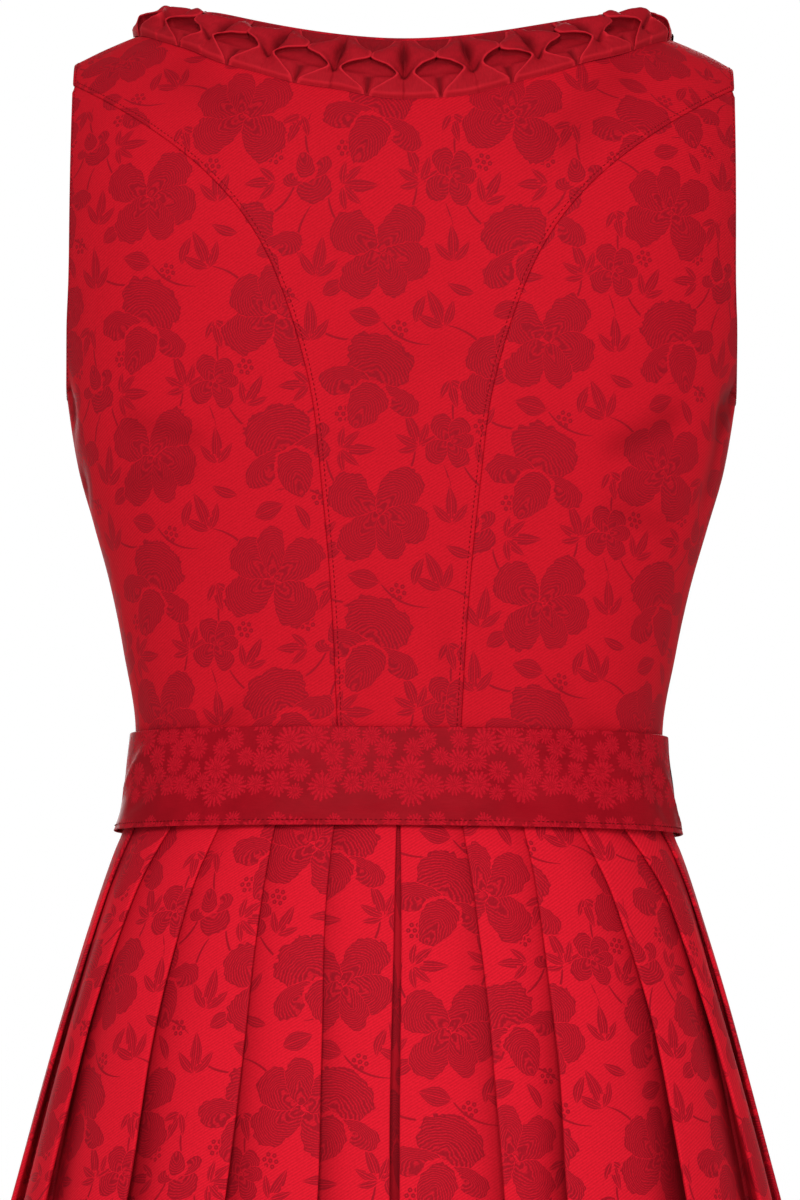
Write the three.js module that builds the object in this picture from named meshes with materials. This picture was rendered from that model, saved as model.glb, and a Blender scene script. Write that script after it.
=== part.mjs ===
// Dirndl: a sleeveless pleated dress with a ruched neckline, and its tied apron.
// Millimetres, +Z up. The back faces +Y, the wearer's left side is +X, and the
// origin lies between the two shoulder straps, at the height of their inner ends.
import * as THREE from 'three';

// ---------------------------------------------------------------- driving sizes

const WAIST = -358;             // height of the apron band's top edge
const BODICE_END = -385;        // the bodice ends under the band
const SKIRT_TOP = -387;         // the skirt starts just below it, under the band
const BAND_BOTTOM = -406;       // height of the band's lower edge
const HEM = -1090;              // height of the skirt's hem
const APRON_HEM = -1035;        // height of the apron's hem
const UNDERARM = -190;          // lowest point of the armhole
const YOKE = -110;              // above this height the body rounds over to the shoulder
const YOKE_HALF_WIDTH = 172;    // the body's half width there, wider than the armholes leave
const YOKE_SQUARENESS = 2.5;
const RIDGE_CLIMB = 170;        // from the yoke line over the rounded shoulder to its ridge
const NECK_HALF_WIDTH = 100;    // half of the neck opening, at the shoulder
const BACK_NECK_HEIGHT = -20;   // neck edge at the centre back
const FRONT_NECK_HEIGHT = -162; // neck edge at the centre front
const STRAP_END = 164;          // outer end of the shoulder strap, from the centre
const NECK_CORNER = 0.62;       // below 1, the front neckline's corners are squarer
const ARMHOLE_BACK_SPREAD = 19.5; // how far round the body the armhole cuts, in degrees
const ARMHOLE_FRONT_SPREAD = 27;
const SIDE_TURN = 90;           // degrees round the body from the centre back
const FRONT_TURN = 180;
const BACK_SEAM_STEPS = 10;     // rows of facets along a back princess seam
const FRONT_SEAM_STEPS = 13;    // and along a front one
const CENTRE_STEPS = 8;         // and up the centre front
const SIDE_SEAM_STEPS = 5;      // and up the side seam
const SIDE_PANEL_TIP = 4;       // the side panels end this blunt at the armhole

const CLOTH = 2;                // wall of the bodice's panels
const SKIRT_CLOTH = 1.4;        // wall of the skirt and of the apron
const SEAM_GAP = 0.3;           // gap between neighbouring pieces
const PLEATS_PER_HALF = 12;     // knife pleats from the centre back to the centre front
const PLEAT_LAYER = 2;          // radial step between the layers of a folded pleat
const SIDE_FOLD = 6;            // the fold over the side seam, from the centre back

const RUCHE_BACK_UNITS = 10;    // mouth-shaped folds between the shoulders
const RUCHE_FRONT_UNITS = 9;    // mouth-shaped folds from one shoulder to the centre front
const RUCHE_LIFT = 0.7;         // the ruching's underside lies this far outside the bodice
const RUCHE_WIDTH = 37;         // of the strip, from the neck edge

const NECK_EDGE = {
  halfWidth: NECK_HALF_WIDTH,
  backHeight: BACK_NECK_HEIGHT,
  frontHeight: FRONT_NECK_HEIGHT,
  backCurve: 1.85,
};
const RUCHE_EDGE = {
  halfWidth: 134,
  backHeight: -53.5,
  frontHeight: FRONT_NECK_HEIGHT - RUCHE_WIDTH,
  backCurve: 1.7,
};

const WAISTBAND_TOP = -361.5;   // clear of the edge of the bodice above it
const BAND_CLOTH = 1.1;         // wall of the apron's band and tie
const SIDE_PLEAT = 5.85;        // the side seam, counted in pleats from the centre back
const BOW_PLEAT = 10;           // the bow's place, on the wearer's left front

const TIE_CLEARANCE = 0.4;      // between the tie, the waistband under it and the knot on it
const APRON_HALF_PLEATS = 4.9;  // half of the apron's width, counted in pleats

const TIE_WIDTH = 44;           // of the bow's loops and tails
const BOW_HEIGHT = -381;
const KNOT = { along: 13, up: 20, out: 9 };
const KNOT_SEAT = 0.95;         // off the tie, which slopes outwards under the knot
const LOOP_START = 13.2;        // the loops begin beside the knot
const LOOP_LENGTH = 78;
const LOOP_PINCH = 15;          // height of the loops and width of the tails at the knot
const LOOP_MIDDLE = 10.5;       // the loops' middle lies this far off the apron
const LOOP_DEPTH = 7.5;
const LOOP_DROOP = 16;          // degrees below the level
const TAIL_START = 21;
const TAIL_LENGTH = 330;
const TAIL_LIFT = 1.2;

const PLACKET_HALF_WIDTH = 11;
const PLACKET_CLOTH = 1.2;
const PLACKET_LIFT = 1.4;        // clearance over the curved front under it
const BUTTON_RADIUS = 7;
const BUTTON_THICKNESS = 3;
const BUTTON_COUNT = 7;
const BUTTON_LIFT = 0.45;       // clearance over the placket, where it bulges
const BUTTON_MARGIN = 10;       // from the placket's ends to the outer buttons' middles

// ---------------------------------------------------------------- section tables

// The figure that the bodice is cut for: outer half width, and depth behind and
// in front of the shoulder line. The sections are superellipses of this squareness.
const FIGURE = [
  { z: 20, half: 172, back: 95, front: 72, square: 2.5 },
  { z: -60, half: 172, back: 99, front: 88, square: 2.5 },
  { z: -110, half: 172, back: 101, front: 100, square: 2.5 },
  { z: -150, half: 171, back: 101, front: 112, square: 2.4 },
  { z: -190, half: 166, back: 99, front: 124, square: 2.3 },
  { z: -225, half: 160.2, back: 95.5, front: 131, square: 2.25 },
  { z: -255, half: 151.7, back: 92, front: 132, square: 2.2 },
  { z: -285, half: 143.3, back: 88.5, front: 124, square: 2.2 },
  { z: -315, half: 136.9, back: 84.5, front: 112, square: 2.2 },
  { z: -358, half: 130.2, back: 81, front: 98, square: 2.2 },
  { z: -390, half: 130.4, back: 81.4, front: 98.2, square: 2.2 },
];

// Height of the shoulder's ridge, by distance from the centre.
const RIDGE = [
  { x: 0, height: 14 },
  { x: 50, height: 11 },
  { x: 80, height: 6.5 },
  { x: 100, height: 1 },
  { x: 118, height: -5.5 },
  { x: 136, height: -12 },
  { x: 150, height: -18 },
  { x: 164, height: -25 },
  { x: 180, height: -32 },
];

// Outer face of the apron's tie, and of the waistband under it at the front.
const BAND = [
  { z: -358, half: 133, back: 84, front: 102.6 },
  { z: -371, half: 134.2, back: 85.5, front: 105.2 },
  { z: -383, half: 135.6, back: 87.5, front: 107.2 },
  { z: -395, half: 137.6, back: 90, front: 109.6 },
  { z: -406, half: 140.6, back: 93, front: 112.4 },
];

// Middle of the pleated skirt's cloth, the reach of its folds to either side of
// that, how far a fold laps over its neighbour, and how full a panel's middle is.
const SKIRT = [
  { z: -387, half: 129.6, back: 81.8, front: 100, reach: 2, lap: 12, crown: 1 },
  { z: -406, half: 134.4, back: 87, front: 105.4, reach: 2.1, lap: 12, crown: 1 },
  { z: -415, half: 138, back: 90.5, front: 108, reach: 2.3, lap: 12, crown: 1 },
  { z: -440, half: 146, back: 99, front: 115, reach: 2.8, lap: 12, crown: 0.95 },
  { z: -500, half: 163, back: 114, front: 126, reach: 3.8, lap: 11, crown: 0.9 },
  { z: -586, half: 185, back: 133, front: 141, reach: 5, lap: 8, crown: 0.8 },
  { z: -700, half: 212, back: 155, front: 160, reach: 6.5, lap: 1, crown: 0.7 },
  { z: -860, half: 246, back: 184, front: 187, reach: 8.5, lap: -9, crown: 0.6 },
  { z: -1000, half: 273, back: 208, front: 210, reach: 9.6, lap: -14, crown: 0.5 },
  { z: -1090, half: 288, back: 221, front: 224, reach: 10, lap: -17, crown: 0.45 },
];
const SKIRT_SQUARENESS = 2.15;
const SKIRT_LEVELS = [SKIRT_TOP, BAND_BOTTOM, -440, -510, -600, -790, HEM];

// Where each fold runs, counted in pleats from the centre back: at the band, a hand
// below it, in the middle and at the lower back, and at the hem.
const FOLD_LEVELS = [-406, -440, -510, -586, -1090];
const FOLDS_LEFT = [
  { fold: 0, at: [0.03, 0.03, 0.03, 0.04, 0.26] },
  { fold: 1, at: [1, 1.01, 0.92, 0.83, 0.9] },
  { fold: 2, at: [1.94, 1.94, 1.91, 1.87, 1.95] },
  { fold: 3, at: [2.88, 3.07, 3.18, 3.07, 3.05] },
  { fold: 4, at: [3.82, 4.15, 4.42, 4.35, 4.1] },
  { fold: 5, at: [4.85, 5.08, 5.32, 5.36, 5.2] },
  { fold: 6, at: [5.9, 6, 6.12, 6.2, 6.1] },
  { fold: 7, at: [6.95, 7, 7.05, 7.12, 7.05] },
  { fold: 8, at: [8, 8, 7.95, 7.9, 8] },
  { fold: 9, at: [9, 9.05, 9.1, 9.12, 8.95] },
  { fold: 10, at: [10, 10, 10.05, 10.1, 10] },
  { fold: 11, at: [11, 11, 10.95, 10.9, 11] },
];
const FOLDS_RIGHT = [
  { fold: 0, at: [0.03, 0.03, 0.03, 0.04, 0.26] },
  { fold: 1, at: [1, 1.08, 1.18, 1.2, 1.1] },
  { fold: 2, at: [1.97, 2, 2, 1.9, 2] },
  { fold: 3, at: [2.91, 3.2, 3.42, 3.38, 3.15] },
  { fold: 4, at: [3.8, 4.3, 4.58, 4.66, 4.3] },
  { fold: 5, at: [4.85, 5.2, 5.45, 5.6, 5.35] },
  { fold: 6, at: [5.9, 6.05, 6.2, 6.35, 6.2] },
  { fold: 7, at: [6.95, 7, 7.1, 7.2, 7.1] },
  { fold: 8, at: [8, 8, 8.05, 8.1, 8] },
  { fold: 9, at: [9, 8.98, 8.95, 8.95, 9.05] },
  { fold: 10, at: [10, 10, 9.95, 9.9, 10.05] },
  { fold: 11, at: [11, 11, 11, 11.05, 11] },
];

// Princess seams of the +X half: distance from the centre at each height.
const BACK_SEAM = [
  { z: BODICE_END, x: 28.8 },
  { z: -300, x: 33 },
  { z: -240, x: 38.5 },
  { z: -196, x: 44 },
  { z: -152, x: 56.5 },
  { z: -119, x: 72 },
  { z: -91, x: 94.5 },
  { z: -65, x: 125 },
  { z: -38.5, x: 162.8 },
];
const FRONT_SEAM = [
  { z: BODICE_END, x: 52.5 },
  { z: -330, x: 61 },
  { z: -290, x: 73 },
  { z: -250, x: 84 },
  { z: -210, x: 92 },
  { z: -170, x: 103 },
  { z: -130, x: 122 },
  { z: -95, x: 151 },
];

// Section of one mouth-shaped fold of the ruching: at each distance across the
// strip, the half width of the gap between two faces as a share of the fold's
// length, the height of a face's edge and of its middle, and the height in the gap.
const RUCHE = [
  { across: 0, gap: 0.3, edge: 2.4, middle: 2.8, floor: 2 },
  { across: 0.34, gap: 0.05, edge: 6.5, middle: 3.6, floor: 3.6 },
  { across: 0.64, gap: 0.3, edge: 7.6, middle: 3.4, floor: 2.4 },
  { across: 1, gap: 0.06, edge: 3.4, middle: 3, floor: 2 },
];

// ---------------------------------------------------------------- materials

function cloth(colour, roughness) {
  return new THREE.MeshStandardMaterial({ color: colour, roughness, metalness: 0 });
}

const bodiceCloth = cloth(0xc21a2a, 0.75);
const rucheCloth = cloth(0xb5182a, 0.75);
const skirtCloth = cloth(0xc11a27, 0.75);
const apronCloth = cloth(0x9d1522, 0.5);
const buttonFinish = new THREE.MeshStandardMaterial({ color: 0x8c7a62, roughness: 0.4, metalness: 0.8 });

// ---------------------------------------------------------------- small helpers

const dress = new THREE.Group();

const clamp = (value, low, high) => Math.min(high, Math.max(low, value));
const mix = (a, b, share) => a + (b - a) * share;
const radians = (degrees) => degrees * Math.PI / 180;
const degrees = (angle) => angle * 180 / Math.PI;
const signedPower = (value, power) => Math.sign(value) * Math.abs(value) ** power;
const steps = (count) => Array.from({ length: count + 1 }, (_, i) => i / count);

// A smooth curve through a table's column: cubic pieces whose slopes never overshoot.
function column(rows, key, name) {
  const points = rows.map((row) => [row[key], row[name]]).sort((a, b) => a[0] - b[0]);
  const slopes = points.slice(1).map((p, i) => (p[1] - points[i][1]) / (p[0] - points[i][0]));
  const tangents = points.map((_, i) => {
    if (i === 0) return slopes[0];
    if (i === slopes.length) return slopes[i - 1];
    const before = slopes[i - 1];
    const after = slopes[i];
    return before * after <= 0 ? 0 : 2 * before * after / (before + after);
  });
  return (at) => {
    const x = clamp(at, points[0][0], points[points.length - 1][0]);
    const i = clamp(points.findIndex((p) => p[0] >= x) - 1, 0, slopes.length - 1);
    const width = points[i + 1][0] - points[i][0];
    const t = (x - points[i][0]) / width;
    const h00 = (1 + 2 * t) * (1 - t) ** 2;
    const h10 = t * (1 - t) ** 2;
    const h01 = t * t * (3 - 2 * t);
    const h11 = t * t * (t - 1);
    return h00 * points[i][1] + h10 * width * tangents[i]
      + h01 * points[i + 1][1] + h11 * width * tangents[i + 1];
  };
}

// ---------------------------------------------------------------- the figure's surface

const halfWidth = column(FIGURE, 'z', 'half');
const backDepth = column(FIGURE, 'z', 'back');
const frontDepth = column(FIGURE, 'z', 'front');
const squareness = column(FIGURE, 'z', 'square');
const ridgeHeight = column(RIDGE, 'x', 'height');

// A place on the figure is {turn, climb}. turn is the angle round the body from the
// centre back, positive to +X. climb is the height above the yoke line. Above it the
// climb goes over the rounded shoulder, where each upright section is a quarter
// ellipse, and reaches RIDGE_CLIMB on the shoulder's ridge.
function torso({ turn, climb }) {
  const onYoke = climb > 0;
  const half = onYoke ? YOKE_HALF_WIDTH : halfWidth(YOKE + climb);
  const power = 2 / (onYoke ? YOKE_SQUARENESS : squareness(YOKE + climb));
  const sine = Math.sin(radians(turn));
  const cosine = Math.cos(radians(turn));
  const x = half * signedPower(sine, power);
  const rise = ridgeHeight(Math.abs(x)) - YOKE;
  const angle = Math.max(climb, 0) / RIDGE_CLIMB * Math.PI / 2;
  const z = onYoke ? YOKE + rise * Math.sin(angle) : YOKE + climb;
  const depth = cosine >= 0 ? backDepth(z) : frontDepth(z);
  return new THREE.Vector3(x, depth * signedPower(cosine, power) * Math.cos(angle), z);
}

// The place on the back or on the front that has this x and z.
function placeAt(x, z, onFront) {
  const onYoke = z > YOKE;
  const half = onYoke ? YOKE_HALF_WIDTH : halfWidth(z);
  const power = (onYoke ? YOKE_SQUARENESS : squareness(z)) / 2;
  const backTurn = degrees(Math.asin(clamp(signedPower(x / half, power), -1, 1)));
  const frontTurn = x < 0 ? -180 - backTurn : 180 - backTurn;
  const share = Math.min(1, (z - YOKE) / (ridgeHeight(Math.abs(x)) - YOKE));
  const climb = onYoke ? RIDGE_CLIMB * Math.asin(share) * 2 / Math.PI : z - YOKE;
  return { turn: onFront ? frontTurn : backTurn, climb };
}

// Outward unit normal, from small steps along both coordinates. At the ridge itself
// the step over it is taken on the near side only.
function torsoNormal({ turn, climb }) {
  const step = 0.5;
  const lower = torso({ turn, climb: climb - step });
  const upper = torso({ turn, climb: Math.min(climb + step, RIDGE_CLIMB) });
  const before = torso({ turn: turn - step, climb });
  const after = torso({ turn: turn + step, climb });
  return upper.sub(lower).cross(after.sub(before)).normalize();
}

// ---------------------------------------------------------------- closed walls

// Closes two grids of points, one on each face of a wall, into one solid.
function solidBetween(outer, inner) {
  const rows = outer.length;
  const columns = outer[0].length;
  const positions = [];
  for (const grid of [outer, inner]) {
    for (const row of grid) {
      for (const point of row) positions.push(point.x, point.y, point.z);
    }
  }
  const index = [];
  const outerAt = (r, c) => r * columns + c;
  const innerAt = (r, c) => rows * columns + r * columns + c;
  const quad = (a, b, c, d) => index.push(a, b, c, a, c, d);
  for (let r = 0; r < rows - 1; r += 1) {
    for (let c = 0; c < columns - 1; c += 1) {
      quad(outerAt(r, c), outerAt(r, c + 1), outerAt(r + 1, c + 1), outerAt(r + 1, c));
      quad(innerAt(r, c), innerAt(r + 1, c), innerAt(r + 1, c + 1), innerAt(r, c + 1));
    }
  }
  for (let c = 0; c < columns - 1; c += 1) {
    quad(outerAt(0, c), innerAt(0, c), innerAt(0, c + 1), outerAt(0, c + 1));
    quad(outerAt(rows - 1, c), outerAt(rows - 1, c + 1), innerAt(rows - 1, c + 1), innerAt(rows - 1, c));
  }
  for (let r = 0; r < rows - 1; r += 1) {
    quad(outerAt(r, 0), outerAt(r + 1, 0), innerAt(r + 1, 0), innerAt(r, 0));
    quad(outerAt(r, columns - 1), innerAt(r, columns - 1),
      innerAt(r + 1, columns - 1), outerAt(r + 1, columns - 1));
  }
  const geometry = new THREE.BufferGeometry();
  geometry.setAttribute('position', new THREE.Float32BufferAttribute(positions, 3));
  geometry.setIndex(index);
  return geometry;
}

// Turns a solid's triangles over when they point inwards.
function facingOut(geometry) {
  const position = geometry.getAttribute('position');
  const index = geometry.getIndex();
  const a = new THREE.Vector3();
  const b = new THREE.Vector3();
  const c = new THREE.Vector3();
  let volume = 0;
  for (let i = 0; i < index.count; i += 3) {
    a.fromBufferAttribute(position, index.getX(i));
    b.fromBufferAttribute(position, index.getX(i + 1));
    c.fromBufferAttribute(position, index.getX(i + 2));
    volume += a.dot(b.cross(c));
  }
  if (volume < 0) geometry.setIndex(Array.from(index.array).reverse());
  geometry.computeVertexNormals();
  return geometry;
}

function addPiece(name, geometry, material) {
  const mesh = new THREE.Mesh(facingOut(geometry), material);
  mesh.name = name;
  dress.add(mesh);
}

// Draws the wall's four edges in by half a seam gap, so that neighbours stay apart.
function drawnIn(grid) {
  const inset = SEAM_GAP / 2 + 0.03;
  const towards = (point, next) => point.clone().add(next.clone().sub(point).setLength(inset));
  const last = grid.length - 1;
  const narrowed = grid.map((row) => row.map((point, c) => {
    if (c === 0) return towards(point, row[1]);
    if (c === row.length - 1) return towards(point, row[c - 1]);
    return point;
  }));
  return narrowed.map((row, r) => row.map((point, c) => {
    if (r === 0) return towards(point, narrowed[1][c]);
    if (r === last) return towards(point, narrowed[last - 1][c]);
    return point;
  }));
}

// A wall whose places on the figure are given as a grid, from lift outside it to
// lift minus thickness.
function wallOnFigure(places, lift, thickness) {
  const raised = (height) => places.map((row) => row.map((place) => (
    torso(place).addScaledVector(torsoNormal(place), height))));
  return solidBetween(drawnIn(raised(lift)), drawnIn(raised(lift - thickness)));
}

// ---------------------------------------------------------------- panels between edges

const blend = (a, b, share) => ({
  turn: mix(a.turn, b.turn, share),
  climb: mix(a.climb, b.climb, share),
});

const blendEach = (a, b, shares) => ({
  turn: mix(a.turn, b.turn, shares.turn),
  climb: mix(a.climb, b.climb, shares.climb),
});

// The surface between four edges, each a list of places: the straight blends of both
// pairs of edges, less the blend of the corners. upShares gives each row's share of
// the way from the bottom edge's bends to the top edge's.
function panelBetween(bottom, top, left, right, upShares = steps(left.length - 1).map(
  (share) => ({ turn: share, climb: share }))) {
  const rows = left.length - 1;
  const columns = bottom.length - 1;
  return left.map((_, r) => bottom.map((__, c) => {
    const t = upShares[r];
    const s = c / columns;
    const upright = blendEach(bottom[c], top[c], t);
    const level = blend(left[r], right[r], s);
    const corners = blendEach(blend(bottom[0], bottom[columns], s), blend(top[0], top[columns], s), t);
    return {
      turn: upright.turn + level.turn - corners.turn,
      climb: upright.climb + level.climb - corners.climb,
    };
  }));
}

const evenly = (from, to, count) => steps(count).map((share) => blend(from, to, share));
const mirrored = (places) => places.map(({ turn, climb }) => ({ turn: -turn, climb }));
const mirroredGrid = (grid) => grid.map((row) => mirrored(row));

// Points spaced evenly along a seam of the table, as places.
function seamPlaces(table, count, onFront) {
  const curve = new THREE.SplineCurve(table.map(({ x, z }) => new THREE.Vector2(x, z)));
  return curve.getSpacedPoints(count).map((point) => placeAt(point.x, point.y, onFront));
}

// The armhole's edge from the underarm (share 0) to the shoulder (share 1): a quarter
// ellipse up to the yoke at half way, then nearly straight to the strap's end.
function armholePlace(share, onFront) {
  const spread = onFront ? ARMHOLE_FRONT_SPREAD : ARMHOLE_BACK_SPREAD;
  const strapTurn = placeAt(STRAP_END, YOKE, false).turn;
  const angle = Math.min(share * 2, 1) * Math.PI / 2;
  const height = mix(YOKE, UNDERARM, Math.cos(angle));
  const low = 90 - spread * Math.sin(angle);
  const s = Math.max(share * 2 - 1, 0);
  const backTurn = mix(low, strapTurn, s * s * (3 - 2 * s));
  const climb = s > 0 ? s * RIDGE_CLIMB : height - YOKE;
  return { turn: onFront ? 180 - backTurn : backTurn, climb };
}

// The share of the armhole's edge at which it has this height, above the yoke.
function armholeShare(height) {
  const rise = ridgeHeight(STRAP_END) - YOKE;
  return 0.5 + Math.asin(clamp((height - YOKE) / rise, 0, 1)) / Math.PI;
}

// The neck edge and the ruching's outer edge, from the centre (share 0) to the
// shoulder (share 1): each is a rounded corner between two half widths and heights.
function backNeckPlace(share, edge = NECK_EDGE) {
  const x = edge.halfWidth * Math.sin(share * Math.PI / 2);
  const top = ridgeHeight(edge.halfWidth);
  const z = edge.backHeight + (top - edge.backHeight) * (x / edge.halfWidth) ** edge.backCurve;
  return placeAt(x, z, false);
}

function frontNeckPlace(share, edge = NECK_EDGE) {
  const angle = share * Math.PI / 2;
  const x = edge.halfWidth * Math.sin(angle) ** NECK_CORNER;
  const top = ridgeHeight(edge.halfWidth);
  const z = mix(top, edge.frontHeight, Math.max(Math.cos(angle), 0) ** NECK_CORNER);
  return placeAt(x, z, true);
}

// The shoulder's ridge as a place on the back or the front, by distance from the centre.
function ridgePlace(x, onFront) {
  const backTurn = placeAt(x, YOKE, false).turn;
  return { turn: onFront ? 180 - backTurn : backTurn, climb: RIDGE_CLIMB };
}

// Spaces count + 1 places evenly along an edge that runs from share 0 to share 1.
function spacedPlaces(placeAtShare, count, from = 0, to = 1) {
  const fine = steps(400).map((share) => mix(from, to, share));
  const points = fine.map((share) => torso(placeAtShare(share)));
  const travelled = [0];
  for (let i = 1; i < points.length; i += 1) {
    travelled.push(travelled[i - 1] + points[i].distanceTo(points[i - 1]));
  }
  return steps(count).map((share) => {
    const target = share * travelled[travelled.length - 1];
    const after = clamp(travelled.findIndex((length) => length >= target), 1, fine.length - 1);
    const span = travelled[after] - travelled[after - 1];
    const part = (target - travelled[after - 1]) / span;
    return placeAtShare(mix(fine[after - 1], fine[after], part));
  });
}

// ---------------------------------------------------------------- bodice

const bodiceEndClimb = BODICE_END - YOKE;

// The outer boundary of a side panel: up the side seam, then along the armhole to
// just short of the princess seam's end.
function sideEdge(seamTopHeight, rows, onFront) {
  const seamEnd = { turn: SIDE_TURN, climb: bodiceEndClimb };
  const underarm = { turn: SIDE_TURN, climb: UNDERARM - YOKE };
  const side = evenly(seamEnd, underarm, SIDE_SEAM_STEPS);
  const top = armholeShare(seamTopHeight - SIDE_PANEL_TIP);
  const armholeRows = rows - SIDE_SEAM_STEPS;
  const armhole = spacedPlaces((share) => armholePlace(share, onFront), armholeRows, 0, top);
  return [...side, ...armhole.slice(1)];
}

function addSidePanels(name, seam, seamTopHeight, onFront) {
  const rows = seam.length - 1;
  const outer = sideEdge(seamTopHeight, rows, onFront);
  const columns = onFront ? 5 : 4;
  const bottom = evenly(seam[0], outer[0], columns);
  const top = evenly(seam[rows], outer[rows], columns);
  const places = panelBetween(bottom, top, seam, outer);
  addPiece(`${name}_left`, wallOnFigure(places, 0, CLOTH), bodiceCloth);
  addPiece(`${name}_right`, wallOnFigure(mirroredGrid(places), 0, CLOTH), bodiceCloth);
}

// A seam's places, and on from its end along the armhole to the shoulder.
function seamAndArmhole(table, seamSteps, armholeSteps, onFront) {
  const seam = seamPlaces(table, seamSteps, onFront);
  const start = armholeShare(table[table.length - 1].z);
  const armhole = spacedPlaces((share) => armholePlace(share, onFront), armholeSteps, start, 1);
  return { seam, outer: [...seam, ...armhole.slice(1, -1), ridgePlace(STRAP_END, onFront)] };
}

function addBackPanels() {
  const { seam, outer } = seamAndArmhole(BACK_SEAM, BACK_SEAM_STEPS, 2, false);
  const neck = spacedPlaces(backNeckPlace, 4);
  const strap = [132, STRAP_END].map((x) => ridgePlace(x, false));
  const halfTop = [...neck, ...strap];
  const top = [...mirrored(halfTop).reverse().slice(0, -1), ...halfTop];
  const bottom = evenly(mirrored([seam[0]])[0], seam[0], top.length - 1);
  const last = outer.length - 1;
  const upShares = outer.map(({ turn }, r) => (
    { turn: (turn / outer[last].turn) ** 2.5, climb: (r / last) ** 6 }));
  const places = panelBetween(bottom, top, mirrored(outer), outer, upShares);
  addPiece('bodice_back_centre', wallOnFigure(places, 0, CLOTH), bodiceCloth);
  addSidePanels('bodice_back_side', seam, BACK_SEAM[BACK_SEAM.length - 1].z, false);
}

// A front panel's inner boundary runs up the centre front, then round the neck edge.
function addFrontPanels() {
  const { seam, outer } = seamAndArmhole(FRONT_SEAM, FRONT_SEAM_STEPS, 3, true);
  const rows = outer.length - 1;
  const centreEnd = { turn: FRONT_TURN, climb: bodiceEndClimb };
  const neckEnd = { turn: FRONT_TURN, climb: FRONT_NECK_HEIGHT - YOKE };
  const neck = spacedPlaces(frontNeckPlace, rows - CENTRE_STEPS);
  const inner = [...evenly(centreEnd, neckEnd, CENTRE_STEPS), ...neck.slice(1)];
  const strapSteps = 5;
  const top = steps(strapSteps).map((share) => ridgePlace(mix(NECK_HALF_WIDTH, STRAP_END, share), true));
  const bottom = evenly(inner[0], seam[0], strapSteps);
  const places = panelBetween(bottom, top, inner, outer);
  addPiece('bodice_front_left', wallOnFigure(places, 0, CLOTH), bodiceCloth);
  addPiece('bodice_front_right', wallOnFigure(mirroredGrid(places), 0, CLOTH), bodiceCloth);
  addSidePanels('bodice_front_side', seam, FRONT_SEAM[FRONT_SEAM.length - 1].z, true);
}

// The strip that covers the centre front opening, and the buttons on it.
function addClosure() {
  const halfTurn = degrees(PLACKET_HALF_WIDTH / frontDepth(WAIST));
  const top = FRONT_NECK_HEIGHT - RUCHE_WIDTH - SEAM_GAP;
  const places = steps(CENTRE_STEPS).map((t) => [-1, 0, 1].map((side) => (
    { turn: FRONT_TURN + side * halfTurn, climb: mix(WAIST + SEAM_GAP, top, t) - YOKE })));
  const facing = PLACKET_LIFT + PLACKET_CLOTH;
  addPiece('front_placket', wallOnFigure(places, facing, PLACKET_CLOTH), bodiceCloth);

  for (let i = 0; i < BUTTON_COUNT; i += 1) {
    const height = mix(top - BUTTON_MARGIN, WAIST + BUTTON_MARGIN, i / (BUTTON_COUNT - 1));
    const place = { turn: FRONT_TURN, climb: height - YOKE };
    const normal = torsoNormal(place);
    const hollows = [-BUTTON_RADIUS, BUTTON_RADIUS].map((up) => (
      torso({ turn: FRONT_TURN, climb: place.climb + up }).sub(torso(place)).dot(normal)));
    const middle = facing + BUTTON_LIFT + Math.max(0, ...hollows) + BUTTON_THICKNESS / 2;
    const geometry = new THREE.CylinderGeometry(BUTTON_RADIUS, BUTTON_RADIUS, BUTTON_THICKNESS, 10);
    const turned = new THREE.Quaternion().setFromUnitVectors(new THREE.Vector3(0, 1, 0), normal);
    geometry.applyQuaternion(turned);
    const centre = torso(place).addScaledVector(normal, middle);
    geometry.translate(centre.x, centre.y, centre.z);
    const mesh = new THREE.Mesh(geometry, buttonFinish);
    mesh.name = `button_${i + 1}`;
    dress.add(mesh);
  }
}

// ---------------------------------------------------------------- ruching

// One stretch of the strip: the section table is repeated along it, from the middle
// of one face to the middle of the next. Its underside lies just off the bodice.
function rucheWall(innerAt, outerAt, units) {
  const across = RUCHE.map((row) => row.across);
  const columnsOf = (row) => {
    const columns = [];
    for (let unit = 0; unit < units; unit += 1) {
      const floorEdge = row.gap * 0.75;
      columns.push({ at: unit, height: row.middle });
      columns.push({ at: unit + 0.5 - row.gap, height: row.edge });
      columns.push({ at: unit + 0.5 - floorEdge, height: row.floor });
      columns.push({ at: unit + 0.5 + floorEdge, height: row.floor });
      columns.push({ at: unit + 0.5 + row.gap, height: row.edge });
    }
    columns.push({ at: units, height: row.middle });
    return columns;
  };
  const fineCount = units * 20;
  const innerPlaces = spacedPlaces(innerAt, fineCount);
  const outerPlaces = spacedPlaces(outerAt, fineCount);
  const placeOf = (at, share) => {
    const position = at / units * fineCount;
    const low = Math.min(Math.floor(position), fineCount - 1);
    const part = position - low;
    const inner = blend(innerPlaces[low], innerPlaces[low + 1], part);
    return blend(inner, blend(outerPlaces[low], outerPlaces[low + 1], part), share);
  };
  const grids = [1, 0].map((raised) => RUCHE.map((row, r) => columnsOf(row).map(({ at, height }) => {
    const place = placeOf(at, across[r]);
    return torso(place).addScaledVector(torsoNormal(place), raised ? height : RUCHE_LIFT);
  })));
  return solidBetween(drawnIn(grids[0]), drawnIn(grids[1]));
}

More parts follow.
